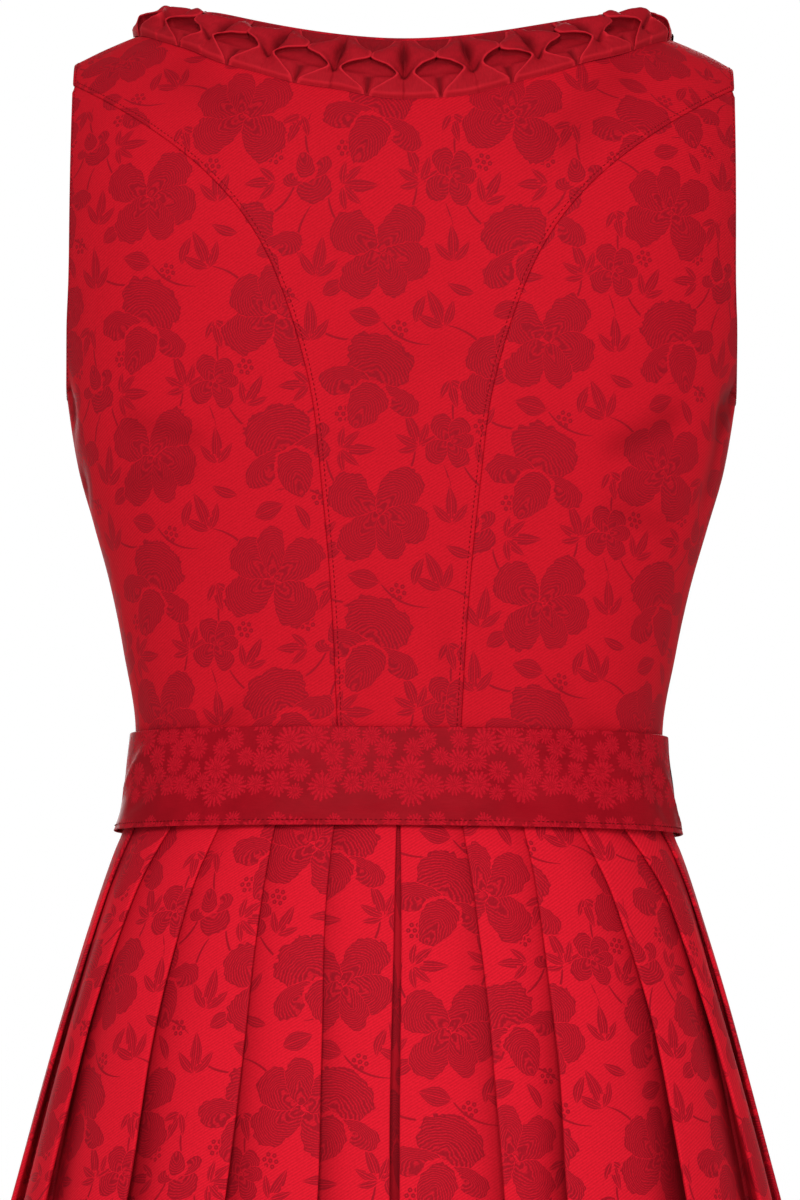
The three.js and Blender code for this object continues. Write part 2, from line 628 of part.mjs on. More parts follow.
function addRuching() {
  const half = (share, edge) => {
    const place = backNeckPlace(Math.abs(share), edge);
    return share < 0 ? { turn: -place.turn, climb: place.climb } : place;
  };
  const across = (share) => share * 2 - 1;
  const back = rucheWall(
    (share) => half(across(share), NECK_EDGE),
    (share) => half(across(share), RUCHE_EDGE),
    RUCHE_BACK_UNITS,
  );
  addPiece('neck_ruching_back', back, rucheCloth);
  const mirror = ({ turn, climb }) => ({ turn: -turn, climb });
  for (const [name, side] of [['left', (place) => place], ['right', mirror]]) {
    const front = rucheWall(
      (share) => side(frontNeckPlace(share, NECK_EDGE)),
      (share) => side(frontNeckPlace(share, RUCHE_EDGE)),
      RUCHE_FRONT_UNITS,
    );
    addPiece(`neck_ruching_front_${name}`, front, rucheCloth);
  }
}

// ---------------------------------------------------------------- rings round the body

// Places round a level section, by distance from the centre back: positive to +X.
function ringOf({ half, back, front }, square) {
  const power = 2 / square;
  const count = 360;
  const points = steps(count).map((share) => {
    const angle = share * Math.PI;
    const depth = Math.cos(angle) >= 0 ? back : front;
    return new THREE.Vector2(half * Math.sin(angle) ** power, depth * signedPower(Math.cos(angle), power));
  });
  const travelled = [0];
  for (let i = 1; i <= count; i += 1) {
    travelled.push(travelled[i - 1] + points[i].distanceTo(points[i - 1]));
  }
  const length = travelled[count];
  const at = (distance) => {
    const side = distance < 0 ? -1 : 1;
    const target = Math.min(Math.abs(distance), length);
    const after = clamp(travelled.findIndex((value) => value >= target), 1, count);
    const part = (target - travelled[after - 1]) / (travelled[after] - travelled[after - 1]);
    const point = points[after - 1].clone().lerp(points[after], part);
    const before = points[Math.max(after - 4, 0)];
    const beyond = points[Math.min(after + 3, count)];
    const along = beyond.clone().sub(before).normalize();
    return {
      point: new THREE.Vector2(point.x * side, point.y),
      normal: new THREE.Vector2(along.y * -side, along.x),
    };
  };
  return { length, at };
}

function ringFromTable(rows, square) {
  const columns = ['half', 'back', 'front'].map((name) => column(rows, 'z', name));
  return (z) => ringOf({ half: columns[0](z), back: columns[1](z), front: columns[2](z) }, square);
}

const bandRing = ringFromTable(BAND, 2.2);
const skirtRing = ringFromTable(SKIRT, SKIRT_SQUARENESS);
const skirtReach = column(SKIRT, 'z', 'reach');
const skirtLap = column(SKIRT, 'z', 'lap');
const skirtCrown = column(SKIRT, 'z', 'crown');

function pointOnRing(ring, distance, lift, z) {
  const { point, normal } = ring.at(distance);
  return new THREE.Vector3(point.x + normal.x * lift, point.y + normal.y * lift, z);
}

// ---------------------------------------------------------------- pleated skirt

const foldPositions = (table) => table.map((row) => (
  column(row.at.map((at, i) => ({ z: FOLD_LEVELS[i], at })), 'z', 'at')));
const foldsLeft = foldPositions(FOLDS_LEFT);
const foldsRight = foldPositions(FOLDS_RIGHT);

// The corners of one half's folded section, from the centre back to the centre front,
// as distance along the ring and lift off it. Each fold is doubled: its return lies
// one layer further in.
function pleatCorners(z, folds, pitch) {
  const reach = skirtReach(z);
  const lap = skirtLap(z);
  const crown = skirtCrown(z);
  const opened = clamp((3 - lap) / 6, 0, 1);
  const foldAt = (k) => (k < PLEATS_PER_HALF ? folds[k](z) : PLEATS_PER_HALF) * pitch;
  const underFold = Math.max(foldAt(0) + lap - 1.5, 1);
  const corners = [{ distance: underFold, lift: -reach }];
  for (let k = 0; k < PLEATS_PER_HALF; k += 1) {
    const fold = foldAt(k);
    const next = foldAt(k + 1);
    corners.push({ distance: fold + lap + 1.5 * opened, lift: PLEAT_LAYER - reach });
    corners.push({ distance: fold - opened, lift: reach - PLEAT_LAYER });
    corners.push({ distance: fold, lift: reach });
    corners.push({ distance: mix(fold, next, 0.5), lift: reach * crown });
    if (k + 1 < PLEATS_PER_HALF) {
      corners.push({ distance: next + Math.min(lap, 0) - 4, lift: -reach * 0.85 });
      corners.push({ distance: next + lap, lift: -reach });
    } else {
      corners.push({ distance: next - SEAM_GAP, lift: reach * crown * 0.8 });
    }
  }
  return corners;
}

// Gives a level polyline its thickness: each corner is moved along the mitre of the
// two stretches that meet there, outwards and inwards by half the cloth.
function thickened(points, thickness) {
  const directions = points.slice(1).map((point, i) => point.clone().sub(points[i]).normalize());
  const sides = [1, -1].map((side) => points.map((point, i) => {
    const before = directions[Math.max(i - 1, 0)];
    const after = directions[Math.min(i, directions.length - 1)];
    const sum = new THREE.Vector2(before.y + after.y, -(before.x + after.x));
    const spread = 1 + before.dot(after);
    return point.clone().addScaledVector(sum, side * thickness / 2 / Math.max(spread, 0.5));
  }));
  return { outer: sides[0], inner: sides[1] };
}

// A wall between two corners of level sections, drawn in at both ends by half a gap.
function wallFromSections(heights, sections, from, to) {
  const face = (name) => sections.map((section, i) => {
    const level = section[name].slice(from, to + 1);
    const ends = [[0, 1], [level.length - 1, level.length - 2]];
    const moved = ends.map(([end, next]) => (
      level[end].clone().add(level[next].clone().sub(level[end]).setLength(SEAM_GAP / 2))));
    level[0] = moved[0];
    level[level.length - 1] = moved[1];
    return level.map((point) => new THREE.Vector3(point.x, point.y, heights[i]));
  });
  return solidBetween(face('outer'), face('inner'));
}

function skirtPoints(corners, ring, side) {
  return corners.map(({ distance, lift }) => {
    const point = pointOnRing(ring, side * distance, lift, 0);
    return new THREE.Vector2(point.x, point.y);
  });
}

function addSkirt() {
  const sections = SKIRT_LEVELS.map((z) => {
    const ring = skirtRing(z);
    const pitch = ring.length / PLEATS_PER_HALF;
    const half = (folds, side) => skirtPoints(pleatCorners(z, folds, pitch), ring, side);
    return thickened([...half(foldsRight, -1).reverse(), ...half(foldsLeft, 1)], SKIRT_CLOTH);
  });
  const last = sections[0].outer.length - 1;
  const toSideSeam = 6 * SIDE_FOLD;
  const backFrom = (last - 1) / 2 - toSideSeam;
  const backTo = (last + 1) / 2 + toSideSeam;
  const pieces = [
    ['skirt_front_right', 0, backFrom],
    ['skirt_back', backFrom, backTo],
    ['skirt_front_left', backTo, last],
  ];
  for (const [name, from, to] of pieces) {
    addPiece(name, wallFromSections(SKIRT_LEVELS, sections, from, to), skirtCloth);
  }
}

// ---------------------------------------------------------------- apron

// A point on a ring, counted in pleats from the centre back over the left side. A
// count past the centre front goes on over the right side.
function pointAtPleat(ring, pleat, along, lift, z) {
  const whole = 2 * ring.length;
  const distance = pleat * ring.length / PLEATS_PER_HALF + along;
  return pointOnRing(ring, distance > ring.length ? distance - whole : distance, lift, z);
}

// A stretch of band between two places counted in pleats, inset from its outer face.
function bandWall(fromPleat, toPleat, inset, heights) {
  const columnsPerPleat = 2.5;
  const count = Math.round(Math.abs(toPleat - fromPleat) * columnsPerPleat);
  const face = (depth) => heights.map((z) => steps(count).map((share) => (
    pointAtPleat(bandRing(z), mix(fromPleat, toPleat, share), 0, -depth, z))));
  return solidBetween(drawnIn(face(inset)), drawnIn(face(inset + BAND_CLOTH)));
}

// A free strip of cloth: a grid of points, thickened along the grid's own normals.
function wallFromGrid(points, thickness) {
  const at = (r, c) => points[clamp(r, 0, points.length - 1)][clamp(c, 0, points[0].length - 1)];
  const normals = points.map((row, r) => row.map((_, c) => {
    const up = at(r + 1, c).clone().sub(at(r - 1, c));
    const along = at(r, c + 1).clone().sub(at(r, c - 1));
    return up.cross(along).normalize();
  }));
  const moved = (amount) => points.map((row, r) => row.map((point, c) => (
    point.clone().addScaledVector(normals[r][c], amount))));
  return solidBetween(moved(thickness / 2), moved(-thickness / 2));
}

// Half the depth of the apron's gathers: shallow at the band, deeper at the hem.
function gatherDepth(z) {
  return mix(1.2, 5, clamp((BAND_BOTTOM - z) / (BAND_BOTTOM - APRON_HEM), 0, 1));
}

// How far the middle of the apron's cloth lies outside the skirt's ring.
const apronLift = (z) => skirtReach(z) + SKIRT_CLOTH + SEAM_GAP + gatherDepth(z);

function addApronPanel() {
  const gathers = 12;
  const heights = [BAND_BOTTOM - SEAM_GAP, ...SKIRT_LEVELS.slice(2, -1), APRON_HEM];
  const sections = heights.map((z) => {
    const points = steps(gathers * 2).map((share, i) => {
      const pleat = PLEATS_PER_HALF + mix(-APRON_HALF_PLEATS, APRON_HALF_PLEATS, share);
      const lift = apronLift(z) + (i % 2 ? 1 : -1) * gatherDepth(z);
      const point = pointAtPleat(skirtRing(z), pleat, 0, lift, z);
      return new THREE.Vector2(point.x, point.y);
    });
    return thickened(points, SKIRT_CLOTH);
  });
  const panel = wallFromSections(heights, sections, 0, 2 * gathers);
  addPiece('apron_panel', panel, apronCloth);
}

function addBand() {
  const besideLeft = SIDE_PLEAT;
  const besideRight = 2 * PLEATS_PER_HALF - SIDE_PLEAT;
  const tieHeights = [WAIST, -383, BAND_BOTTOM];
  const waistbandHeights = [WAISTBAND_TOP, -383, BAND_BOTTOM];
  const tieLeft = bandWall(besideRight - 2 * PLEATS_PER_HALF, BOW_PLEAT, 0, tieHeights);
  addPiece('apron_tie_left', tieLeft, apronCloth);
  addPiece('apron_tie_right', bandWall(BOW_PLEAT, besideRight, 0, tieHeights), apronCloth);
  const inset = BAND_CLOTH + TIE_CLEARANCE;
  const waistband = bandWall(besideLeft, besideRight, inset, waistbandHeights);
  addPiece('apron_waistband', waistband, apronCloth);
}

// ---------------------------------------------------------------- bow

// A point over the apron's outer surface: along it and up it from the knot, lifted off.
function overApron(along, up, lift) {
  const z = BOW_HEIGHT + up;
  if (z > BAND_BOTTOM) return pointAtPleat(bandRing(z), BOW_PLEAT, along, lift, z);
  const surface = apronLift(z) + gatherDepth(z) + SKIRT_CLOTH / 2;
  return pointAtPleat(skirtRing(z), BOW_PLEAT, along, surface + lift, z);
}

// A loop: the strip leaves the knot, turns round at the loop's end and comes back
// behind itself, pinched to the knot's height at both ends.
function loopWall(side) {
  const grid = steps(3).map((across) => steps(10).map((t) => {
    const out = mix(LOOP_START, LOOP_LENGTH, Math.sin(t * Math.PI));
    const lift = LOOP_MIDDLE + LOOP_DEPTH * Math.sin(t * 2 * Math.PI) + 1.4 * Math.cos(t * Math.PI);
    const width = mix(LOOP_PINCH, TIE_WIDTH, Math.sin(t * Math.PI) ** 0.7);
    const off = mix(-width / 2, width / 2, across);
    const droop = radians(LOOP_DROOP);
    const along = side * (out * Math.cos(droop) + off * Math.sin(droop));
    return overApron(along, off * Math.cos(droop) - out * Math.sin(droop), lift);
  }));
  return wallFromGrid(grid, BAND_CLOTH);
}

// A tail: it fans out below the knot, and its end is cut on a slant.
function tailWall(side, length) {
  const slant = 18;
  const grid = steps(8).map((t) => steps(3).map((across) => {
    const fan = Math.min(t * length / 70, 1);
    const width = mix(LOOP_PINCH, TIE_WIDTH, fan);
    const middle = mix(LOOP_PINCH / 2 + 1.5, TIE_WIDTH / 2 + 4, fan) + t * length * 0.06;
    const share = side > 0 ? across : 1 - across;
    const drop = TAIL_START + t * (length + slant * share);
    const wave = 1.6 * (1 + Math.sin(t * 9 + across * 2.5)) * fan;
    return overApron(side * (middle + mix(-width / 2, width / 2, share)), -drop, TAIL_LIFT + wave);
  }));
  return wallFromGrid(grid, BAND_CLOTH);
}

function addBow() {
  const knot = new THREE.SphereGeometry(1, 12, 7);
  knot.scale(KNOT.along, KNOT.out, KNOT.up);
  const seat = KNOT.out + KNOT_SEAT;
  const centre = overApron(0, 0, seat);
  const outward = centre.clone().sub(overApron(0, 0, 0));
  knot.rotateZ(Math.atan2(outward.y, outward.x) + Math.PI / 2);
  knot.translate(centre.x, centre.y, centre.z);
  const mesh = new THREE.Mesh(knot, apronCloth);
  mesh.name = 'bow_knot';
  dress.add(mesh);
  addPiece('bow_loop_left', loopWall(-1), apronCloth);
  addPiece('bow_loop_right', loopWall(1), apronCloth);
  addPiece('bow_tail_left', tailWall(-1, TAIL_LENGTH), apronCloth);
  addPiece('bow_tail_right', tailWall(1, TAIL_LENGTH * 0.93), apronCloth);
}

addBackPanels();
addFrontPanels();
addClosure();
addRuching();
addSkirt();
addBand();
addApronPanel();
addBow();

export default dress;
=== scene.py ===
"""A dirndl, seen from the back: princess-seamed bodice, frog-mouth ruching, pleats and apron."""

from __future__ import annotations

import logging
import math
from dataclasses import dataclass
from enum import Enum
from typing import Callable, Sequence

import bpy
import numpy as np
from mathutils import Matrix, Vector

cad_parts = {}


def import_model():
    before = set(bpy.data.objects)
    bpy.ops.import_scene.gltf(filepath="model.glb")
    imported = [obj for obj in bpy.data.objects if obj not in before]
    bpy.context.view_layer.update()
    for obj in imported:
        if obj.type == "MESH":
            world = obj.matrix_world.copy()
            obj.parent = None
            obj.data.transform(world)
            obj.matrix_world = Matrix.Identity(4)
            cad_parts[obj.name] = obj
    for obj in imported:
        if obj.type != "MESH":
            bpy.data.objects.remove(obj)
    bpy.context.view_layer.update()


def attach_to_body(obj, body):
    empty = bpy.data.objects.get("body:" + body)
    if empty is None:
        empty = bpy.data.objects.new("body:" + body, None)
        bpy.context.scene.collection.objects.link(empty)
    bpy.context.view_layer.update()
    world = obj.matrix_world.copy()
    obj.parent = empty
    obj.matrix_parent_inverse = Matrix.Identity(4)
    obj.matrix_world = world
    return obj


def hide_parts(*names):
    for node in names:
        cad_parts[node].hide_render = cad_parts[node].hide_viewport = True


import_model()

logging.basicConfig(level=logging.INFO, format="%(message)s")
LOG = logging.getLogger("dirndl")

MM = 0.001
UPRIGHT = np.array([0.0, 0.0, 1.0])
Array = np.ndarray
Colour = tuple[float, float, float, float]
Material = bpy.types.Material
Piece = bpy.types.Object
Socket = bpy.types.NodeSocket


# ---- small helpers


def signed_power(value: Array, power: Array) -> Array:
    """Raises the size of a value to a power and keeps its sign."""
    return np.sign(value) * np.abs(value) ** power


def smooth(value: Array, low: float, high: float) -> Array:
    """Rises from 0 at low to 1 at high with level ends."""
    share = np.clip((value - low) / (high - low), 0, 1)
    return share * share * (3 - 2 * share)


def bell(value: Array, middle: float, width: float) -> Array:
    """A bell of height 1 round middle."""
    return np.exp(-(((value - middle) / width) ** 2))


def stacked(*values: Array) -> Array:
    """Coordinates of one broadcast shape, side by side in a last axis."""
    return np.stack(np.broadcast_arrays(*values), -1)


def unit(vectors: Array) -> Array:
    """Vectors of the same directions and of length 1."""
    return vectors / np.linalg.norm(vectors, axis=-1, keepdims=True)


def mirrored(vectors: Array, mirror: bool) -> Array:
    """Vectors with x turned round where mirror says so."""
    return vectors * (-1, 1, 1) if mirror else vectors


def along(edge: Array, share: Array) -> Array:
    """Places on a densely sampled edge.

    Args:
        edge: the edge's samples, (count, channels).
        share: shares of the way along it, any shape.

    Returns:
        The interpolated samples, share's shape with channels added.
    """
    position = np.clip(share, 0, 1) * (len(edge) - 1)
    low = np.minimum(position.astype(int), len(edge) - 2)
    part = (position - low)[..., None]
    return edge[low] * (1 - part) + edge[low + 1] * part


def travelled(points: Array) -> Array:
    """Length along polylines, (…, points, channels), at each of their points."""
    steps = np.linalg.norm(np.diff(points, axis=-2), axis=-1)
    return np.concatenate([np.zeros(steps.shape[:-1] + (1,)), np.cumsum(steps, -1)], -1)


def respaced(points: Array, values: Array, count: int) -> Array:
    """Values at count + 1 even spaces along the polyline of points."""
    length = travelled(points)
    target = np.linspace(0, length[-1], count + 1)
    return np.stack([np.interp(target, length, channel) for channel in values.T], -1)


def soft_noise(x: Array, y: Array, seed: int, scale: float = 1.0) -> Array:
    """Smooth random relief from about -1 to 1.

    Args:
        x: first coordinate.
        y: second coordinate, of a shape that broadcasts with x.
        seed: picks the waves.
        scale: their middle length.

    Returns:
        The sum of ten plane waves of random direction, length and phase, over five.
    """
    waves = 10
    chance = np.random.default_rng(seed)
    total = np.zeros(np.broadcast(x, y).shape)
    for _ in range(waves):
        angle = chance.uniform(0, 2 * np.pi)
        length = scale * chance.uniform(0.6, 1.8)
        phase = chance.uniform(0, 2 * np.pi)
        total += np.sin((x * np.cos(angle) + y * np.sin(angle)) * 2 * np.pi / length + phase)
    return total / (waves / 2)


class Column:
    """A smooth curve through a table's column: cubic pieces whose slopes never overshoot."""

    def __init__(self, keys: Sequence[float], values: Sequence[float]) -> None:
        """Works out the slopes at the rows, each the harmonic mean of its neighbours'.

        Args:
            keys: the rows' own numbers, rising or falling.
            values: the column's entries.
        """
        order = np.argsort(keys)
        self.keys = np.array(keys, float)[order]
        self.values = np.array(values, float)[order]
        slopes = np.diff(self.values) / np.diff(self.keys)
        before, after = slopes[:-1], slopes[1:]
        total = np.where(before + after == 0, 1, before + after)
        inner = np.where(before * after > 0, 2 * before * after / total, 0)
        self.slopes = np.concatenate([slopes[:1], inner, slopes[-1:]])

    def __call__(self, at: Array) -> Array:
        """The curve's value, from the cubic that has both rows' values and slopes.

        Args:
            at: keys of any shape, held at the table's ends.

        Returns:
            The values.
        """
        x = np.clip(at, self.keys[0], self.keys[-1])
        i = np.clip(np.searchsorted(self.keys, x) - 1, 0, len(self.keys) - 2)
        width = self.keys[i + 1] - self.keys[i]
        t = (x - self.keys[i]) / width
        start = (1 + 2 * t) * (1 - t) ** 2 * self.values[i] + t * (1 - t) ** 2 * width * self.slopes[i]
        end = t * t * (3 - 2 * t) * self.values[i + 1] + t * t * (t - 1) * width * self.slopes[i + 1]
        return start + end


# ---- meshes


def mesh_object(name: str, points: Array, faces: Array, finish: Material) -> Piece:
    """A smooth-shaded object from points in millimetres and faces of one size.

    Args:
        name: the piece's name.
        points: places, (…, 3).
        faces: (count, corners) indices.
        finish: its material.

    Returns:
        The new object, linked to the scene, at the origin.
    """
    mesh = bpy.data.meshes.new(name)
    count, corners = faces.shape
    mesh.vertices.add(points.size // 3)
    mesh.vertices.foreach_set("co", (points * MM).astype(np.float32).ravel())
    mesh.loops.add(count * corners)
    mesh.loops.foreach_set("vertex_index", faces.astype(np.int32).ravel())
    mesh.polygons.add(count)
    mesh.polygons.foreach_set("loop_start", np.arange(0, count * corners, corners, dtype=np.int32))
    mesh.update(calc_edges=True)
    mesh.polygons.foreach_set("use_smooth", np.ones(count, dtype=bool))
    mesh.materials.append(finish)
    piece = bpy.data.objects.new(name, mesh)
    bpy.context.scene.collection.objects.link(piece)
    return piece


def grid_faces(rows: int, columns: int, round_columns: bool = False, flip: bool = False) -> Array:
    """Quads of a grid whose normal is columns crossed with rows, or the other way if flipped."""
    index = np.arange(rows * columns).reshape(rows, columns)
    if round_columns:
        index = np.concatenate([index, index[:, :1]], 1)
    corners = [index[:-1, :-1], index[:-1, 1:], index[1:, 1:], index[1:, :-1]]
    faces = np.stack(corners, -1).reshape(-1, 4)
    return faces[:, ::-1] if flip else faces


def give(piece: Piece, name: str, values: Array, domain: str = "POINT") -> None:
    """Stores values in an attribute that the finish reads: vectors, or numbers three times over."""
    if domain == "POINT":
        values = np.repeat(values.ravel(), 3)
    attribute = piece.data.attributes.new(name, "FLOAT_VECTOR", domain)
    attribute.data.foreach_set("vector", values.astype(np.float32).ravel())


def cloth_object(
    name: str,
    points: Array,
    finish: Material,
    uv: Array,
    flip: bool = False,
    weave: Weave | None = None,
    tone: Array | None = None,
) -> Piece:
    """A cloth piece from a grid of points, with its flat coordinates and woven figures.

    Args:
        name: the piece's name.
        points: (rows, columns, 3) in millimetres.
        finish: its material.
        uv: (rows, columns, 2) flat coordinates in millimetres.
        flip: turns the faces over.
        weave: the figures woven into it.
        tone: (rows, columns), painted shade from -1 in a hollow to a painted highlight of 1 on a fold's rim.

    Returns:
        The new object.
    """
    faces = grid_faces(*points.shape[:2], flip=flip)
    piece = mesh_object(name, points, faces, finish)
    flat = uv.reshape(-1, 2)
    layer = piece.data.uv_layers.new(name="cloth")
    layer.uv.foreach_set("vector", (flat[faces.ravel()] * MM).astype(np.float32).ravel())
    if weave is not None:
        weave.dress(piece, flat[faces])
    if tone is not None:
        give(piece, "tone", tone)
    return piece


def mesh_area(piece: Piece) -> float:
    """Area of a piece's faces in square metres."""
    areas = np.empty(len(piece.data.polygons), np.float32)
    piece.data.polygons.foreach_get("area", areas)
    return float(areas.sum())


SPINDLE = np.array([[-0.5, 0.15], [-0.36, 0.85], [0.0, 1.0], [0.36, 0.85], [0.5, 0.15]])
SPINDLE_SIDES = 6
STITCH_LENGTH = 1.5
STITCH_RADIUS = 0.27
STITCH_DIP = 0.16


def stitches_object(
    name: str, points: Array, normals: Array, pitch: float, finish: Material
) -> Piece:
    """A row of stitches along a line: each is a short six-sided spindle whose ends dip.

    Args:
        name: the piece's name.
        points: (count, 3) line in millimetres.
        normals: (count, 3) outward normals along it.
        pitch: distance from stitch to stitch.
        finish: thread material.

    Returns:
        All the stitches as one object.
    """
    count = max(2, int(travelled(points)[-1] / pitch))
    both = respaced(points, np.concatenate([points, normals], 1), count)
    middle = (both[1:] + both[:-1]) / 2
    normal = unit(middle[:, 3:])
    tangent = unit(np.diff(both[:, :3], axis=0))
    side = np.cross(normal, tangent)
    angle = np.linspace(0, 2 * np.pi, SPINDLE_SIDES, endpoint=False)
    ahead = np.repeat(SPINDLE[:, 0], SPINDLE_SIDES)
    beside = (SPINDLE[:, 1:] * np.cos(angle)).ravel() * STITCH_RADIUS
    up = (SPINDLE[:, 1:] * np.sin(angle)).ravel() * STITCH_RADIUS - STITCH_DIP * (ahead * 2) ** 2
    parts = ((tangent, ahead * STITCH_LENGTH), (side, beside), (normal, up))
    cloud = middle[:, None, :3] + sum(way[:, None] * size[:, None] for way, size in parts)
    one = grid_faces(len(SPINDLE), SPINDLE_SIDES, round_columns=True)
    faces = one + (np.arange(count) * len(SPINDLE) * SPINDLE_SIDES)[:, None, None]
    return mesh_object(name, cloud, faces.reshape(-1, 4), finish)


# ---- woven patterns


@dataclass(frozen=True)
class Motif:
    """One woven figure of a repeat.

    x and y place it, size is its radius or half length and width its half width,
    turn its angle in degrees, and bend how far its axis curves per square millimetre.
    """

    x: float
    y: float
    size: float
    width: float = 0.0
    turn: float = 0.0
    bend: float = 0.0

    def axes(self, x: Array, y: Array) -> tuple[Array, Array]:
        """Distances along and across the figure's own bent axis."""
        cosine, sine = math.cos(math.radians(self.turn)), math.sin(math.radians(self.turn))
        ahead = x * cosine + y * sine
        return ahead, y * cosine - x * sine - self.bend * ahead**2


@dataclass(frozen=True)
class Layer:
    """Figures that never touch each other, stored in one attribute of the cloth's corners."""

    name: str
    motifs: tuple[Motif, ...]
    reach: float = 1.25
    round: bool = False


@dataclass(frozen=True)
class Weave:
    """A repeat of woven figures: its size, its layers, and how each figure's edge is met."""

    width: float
    height: float
    layers: tuple[Layer, ...]
    margin: float = 1.5
    least_width: float = 2.2
    nowhere: float = 9.0

    def dress(self, piece: Piece, corners: Array) -> None:
        """Gives every face the coordinates of the figure that it lies in.

        For each layer, the figure whose outline is nearest to the face's middle owns the
        face. Its corners get their place in that figure's own axes: for a blossom as
        shares of its radius, for a leaf or stem as shares of its half length and of its
        half width after its axis is bent straight. The third value is the figure's size.

        Args:
            piece: the cloth.
            corners: flat coordinates of the faces' corners, (faces, 4, 2), in millimetres.
        """
        middle = corners.mean(1)
        for layer in self.layers:
            best = np.full(len(corners), layer.reach)
            values = np.full(corners.shape[:2] + (3,), self.nowhere, np.float32)
            values[..., 2] = 1.0
            for motif in layer.motifs:
                column = np.floor((middle[:, 0] - motif.x) / self.width + 0.5)
                row = np.floor((middle[:, 1] - motif.y) / self.height + 0.5)
                origin = stacked(motif.x + column * self.width, motif.y + row * self.height)
                ahead, across = motif.axes(*(middle - origin).T)
                width = motif.size if layer.round else max(motif.width, self.least_width)
                measure = np.hypot(ahead / (motif.size + self.margin), across / (width + self.margin))
                mine = measure < best
                best[mine] = measure[mine]
                own = corners[mine] - origin[mine, None]
                ahead, across = motif.axes(own[..., 0], own[..., 1])
                size = motif.size if layer.round else motif.width
                values[mine] = stacked(ahead / motif.size, across / size, size)
            give(piece, layer.name, values, "CORNER")


def sprig(x: float, y: float, turn: float, size: float, leaves: int = 3) -> tuple[Motif, ...]:
    """Narrow leaves that spread from one point.

    Args:
        x: the point's place along the weft.
        y: its place along the warp.
        turn: the way the spray points, in degrees.
        size: half length of a usual leaf.
        leaves: how many there are, from 3 to 5.

    Returns:
        The leaves, each with its own lean, share of the size, and bend.
    """
    spread = (
        (-40.0, 0.85, 0.012), (3.0, 1.15, -0.008), (43.0, 0.8, -0.014),
        (-78.0, 0.7, 0.02), (82.0, 0.72, -0.02),
    )
    made = []
    for lean, share, bend in spread[:leaves]:
        angle = math.radians(turn + lean)
        half = size * share
        middle = (x + math.cos(angle) * half * 1.15, y + math.sin(angle) * half * 1.15)
        made.append(Motif(*middle, half, half * 0.31, turn + lean, bend))
    return tuple(made)


def motifs(*rows: tuple[float, ...]) -> tuple[Motif, ...]:
    """Figures from rows of x, y, size, half width, turn and bend."""
    return tuple(Motif(*row) for row in rows)


SPRIGS = (
    (43, 52, 178, 7.5, 5), (74, 54, -4, 6.6), (106, 44, 118, 7.0), (4, 53, 66, 7.5, 5),
    (57, 103, 86, 8.6), (62, 86, -66, 6.6), (124, 110, 64, 8.6), (122, 86, 252, 6.0),
    (55, 8, 98, 8.6), (120, 16, 84, 7.6),
)
STEM = 0.55
FLOWER_WEAVE = Weave(132.0, 126.0, (
    Layer("blossoms", motifs(
        (24, 22, 25, 0, 100), (91, 87, 25.5, 0, -62), (122, 56, 13.0, 0, 30),
    ), reach=1.16, round=True),
    Layer("cups", motifs(
        (86, 22, 23.5, 0, 68), (27, 84, 24, 0, 112), (58, 56, 12.0, 0, 250),
    ), reach=1.16, round=True),
    Layer("leaves", sum((sprig(*row) for row in SPRIGS), ()) + motifs(
        (31, 116, 8.0, 4.6, 14), (94, 120, 7.6, 4.4, 158), (5, 120, 7.2, 2.4, 110, 0.02),
        (77, 117, 7.2, 2.4, 60, -0.02), (117, 3, 7.0, 2.4, 20, 0.02), (46, 4, 6.6, 3.6, 150, 0.01),
    )),
    Layer("stems", motifs(
        (46, 38, 16, STEM, 62, 0.018), (70, 45, 14, STEM, 132, -0.02), (108, 36, 15, STEM, 42, 0.016),
        (8, 44, 13, STEM, 112, -0.02), (46, 106, 16, STEM, 18, 0.018), (110, 106, 15, STEM, 38, -0.018),
        (60, 72, 14, STEM, 84, 0.02), (120, 74, 12, STEM, 97, 0.018), (63, 32, 14, STEM, 104, 0.018),
        (121, 32, 13, STEM, 88, -0.018), (14, 106, 15, STEM, 30, 0.02), (76, 4, 15, STEM, 12, -0.018),
    ), reach=1.1),
    Layer("berries", motifs(
        (41, 69, 4.8), (75, 66, 4.8, 0, 20), (106, 63, 4.4, 0, 10), (14, 110, 4.6, 0, 15), (69, 0, 4.8),
    ), reach=1.2, round=True),
))


def scattered(width: float, height: float, seed: int, plain: float = 0.0) -> Weave:
    """A weave of daisies thrown close together.

    Args:
        width: the repeat's width in millimetres.
        height: its height.
        seed: picks the places.
        plain: height of a strip at the foot that has only a few, at its lower edge.

    Returns:
        The weave.
    """
    few, line, closeness = 0.35, 1.5, 0.72
    chance = np.random.default_rng(seed)
    made: list[Motif] = []
    for x, y, share, turn in chance.random((900, 4)) * (width, height, 1, 360):
        low = y < plain
        size = 4.4 + 0.6 * share if low else 4.1 + 3.6 * share
        if low and (abs(y - line) > line or share > few):
            continue
        free = True
        for other in made:
            beside = (x - other.x + width / 2) % width - width / 2
            above = (y - other.y + height / 2) % height - height / 2
            free = free and math.hypot(beside, above) > closeness * (size + other.size)
        if free:
            made.append(Motif(x, y, size, turn=turn))
    return Weave(width, height, (Layer("blossoms", tuple(made), reach=1.12, round=True),))


BORDER_WEAVE = scattered(97.0, 54.0, 4, 15.5)
DAISY_WEAVE = scattered(97.0, 83.0, 6)


# ---- finishes


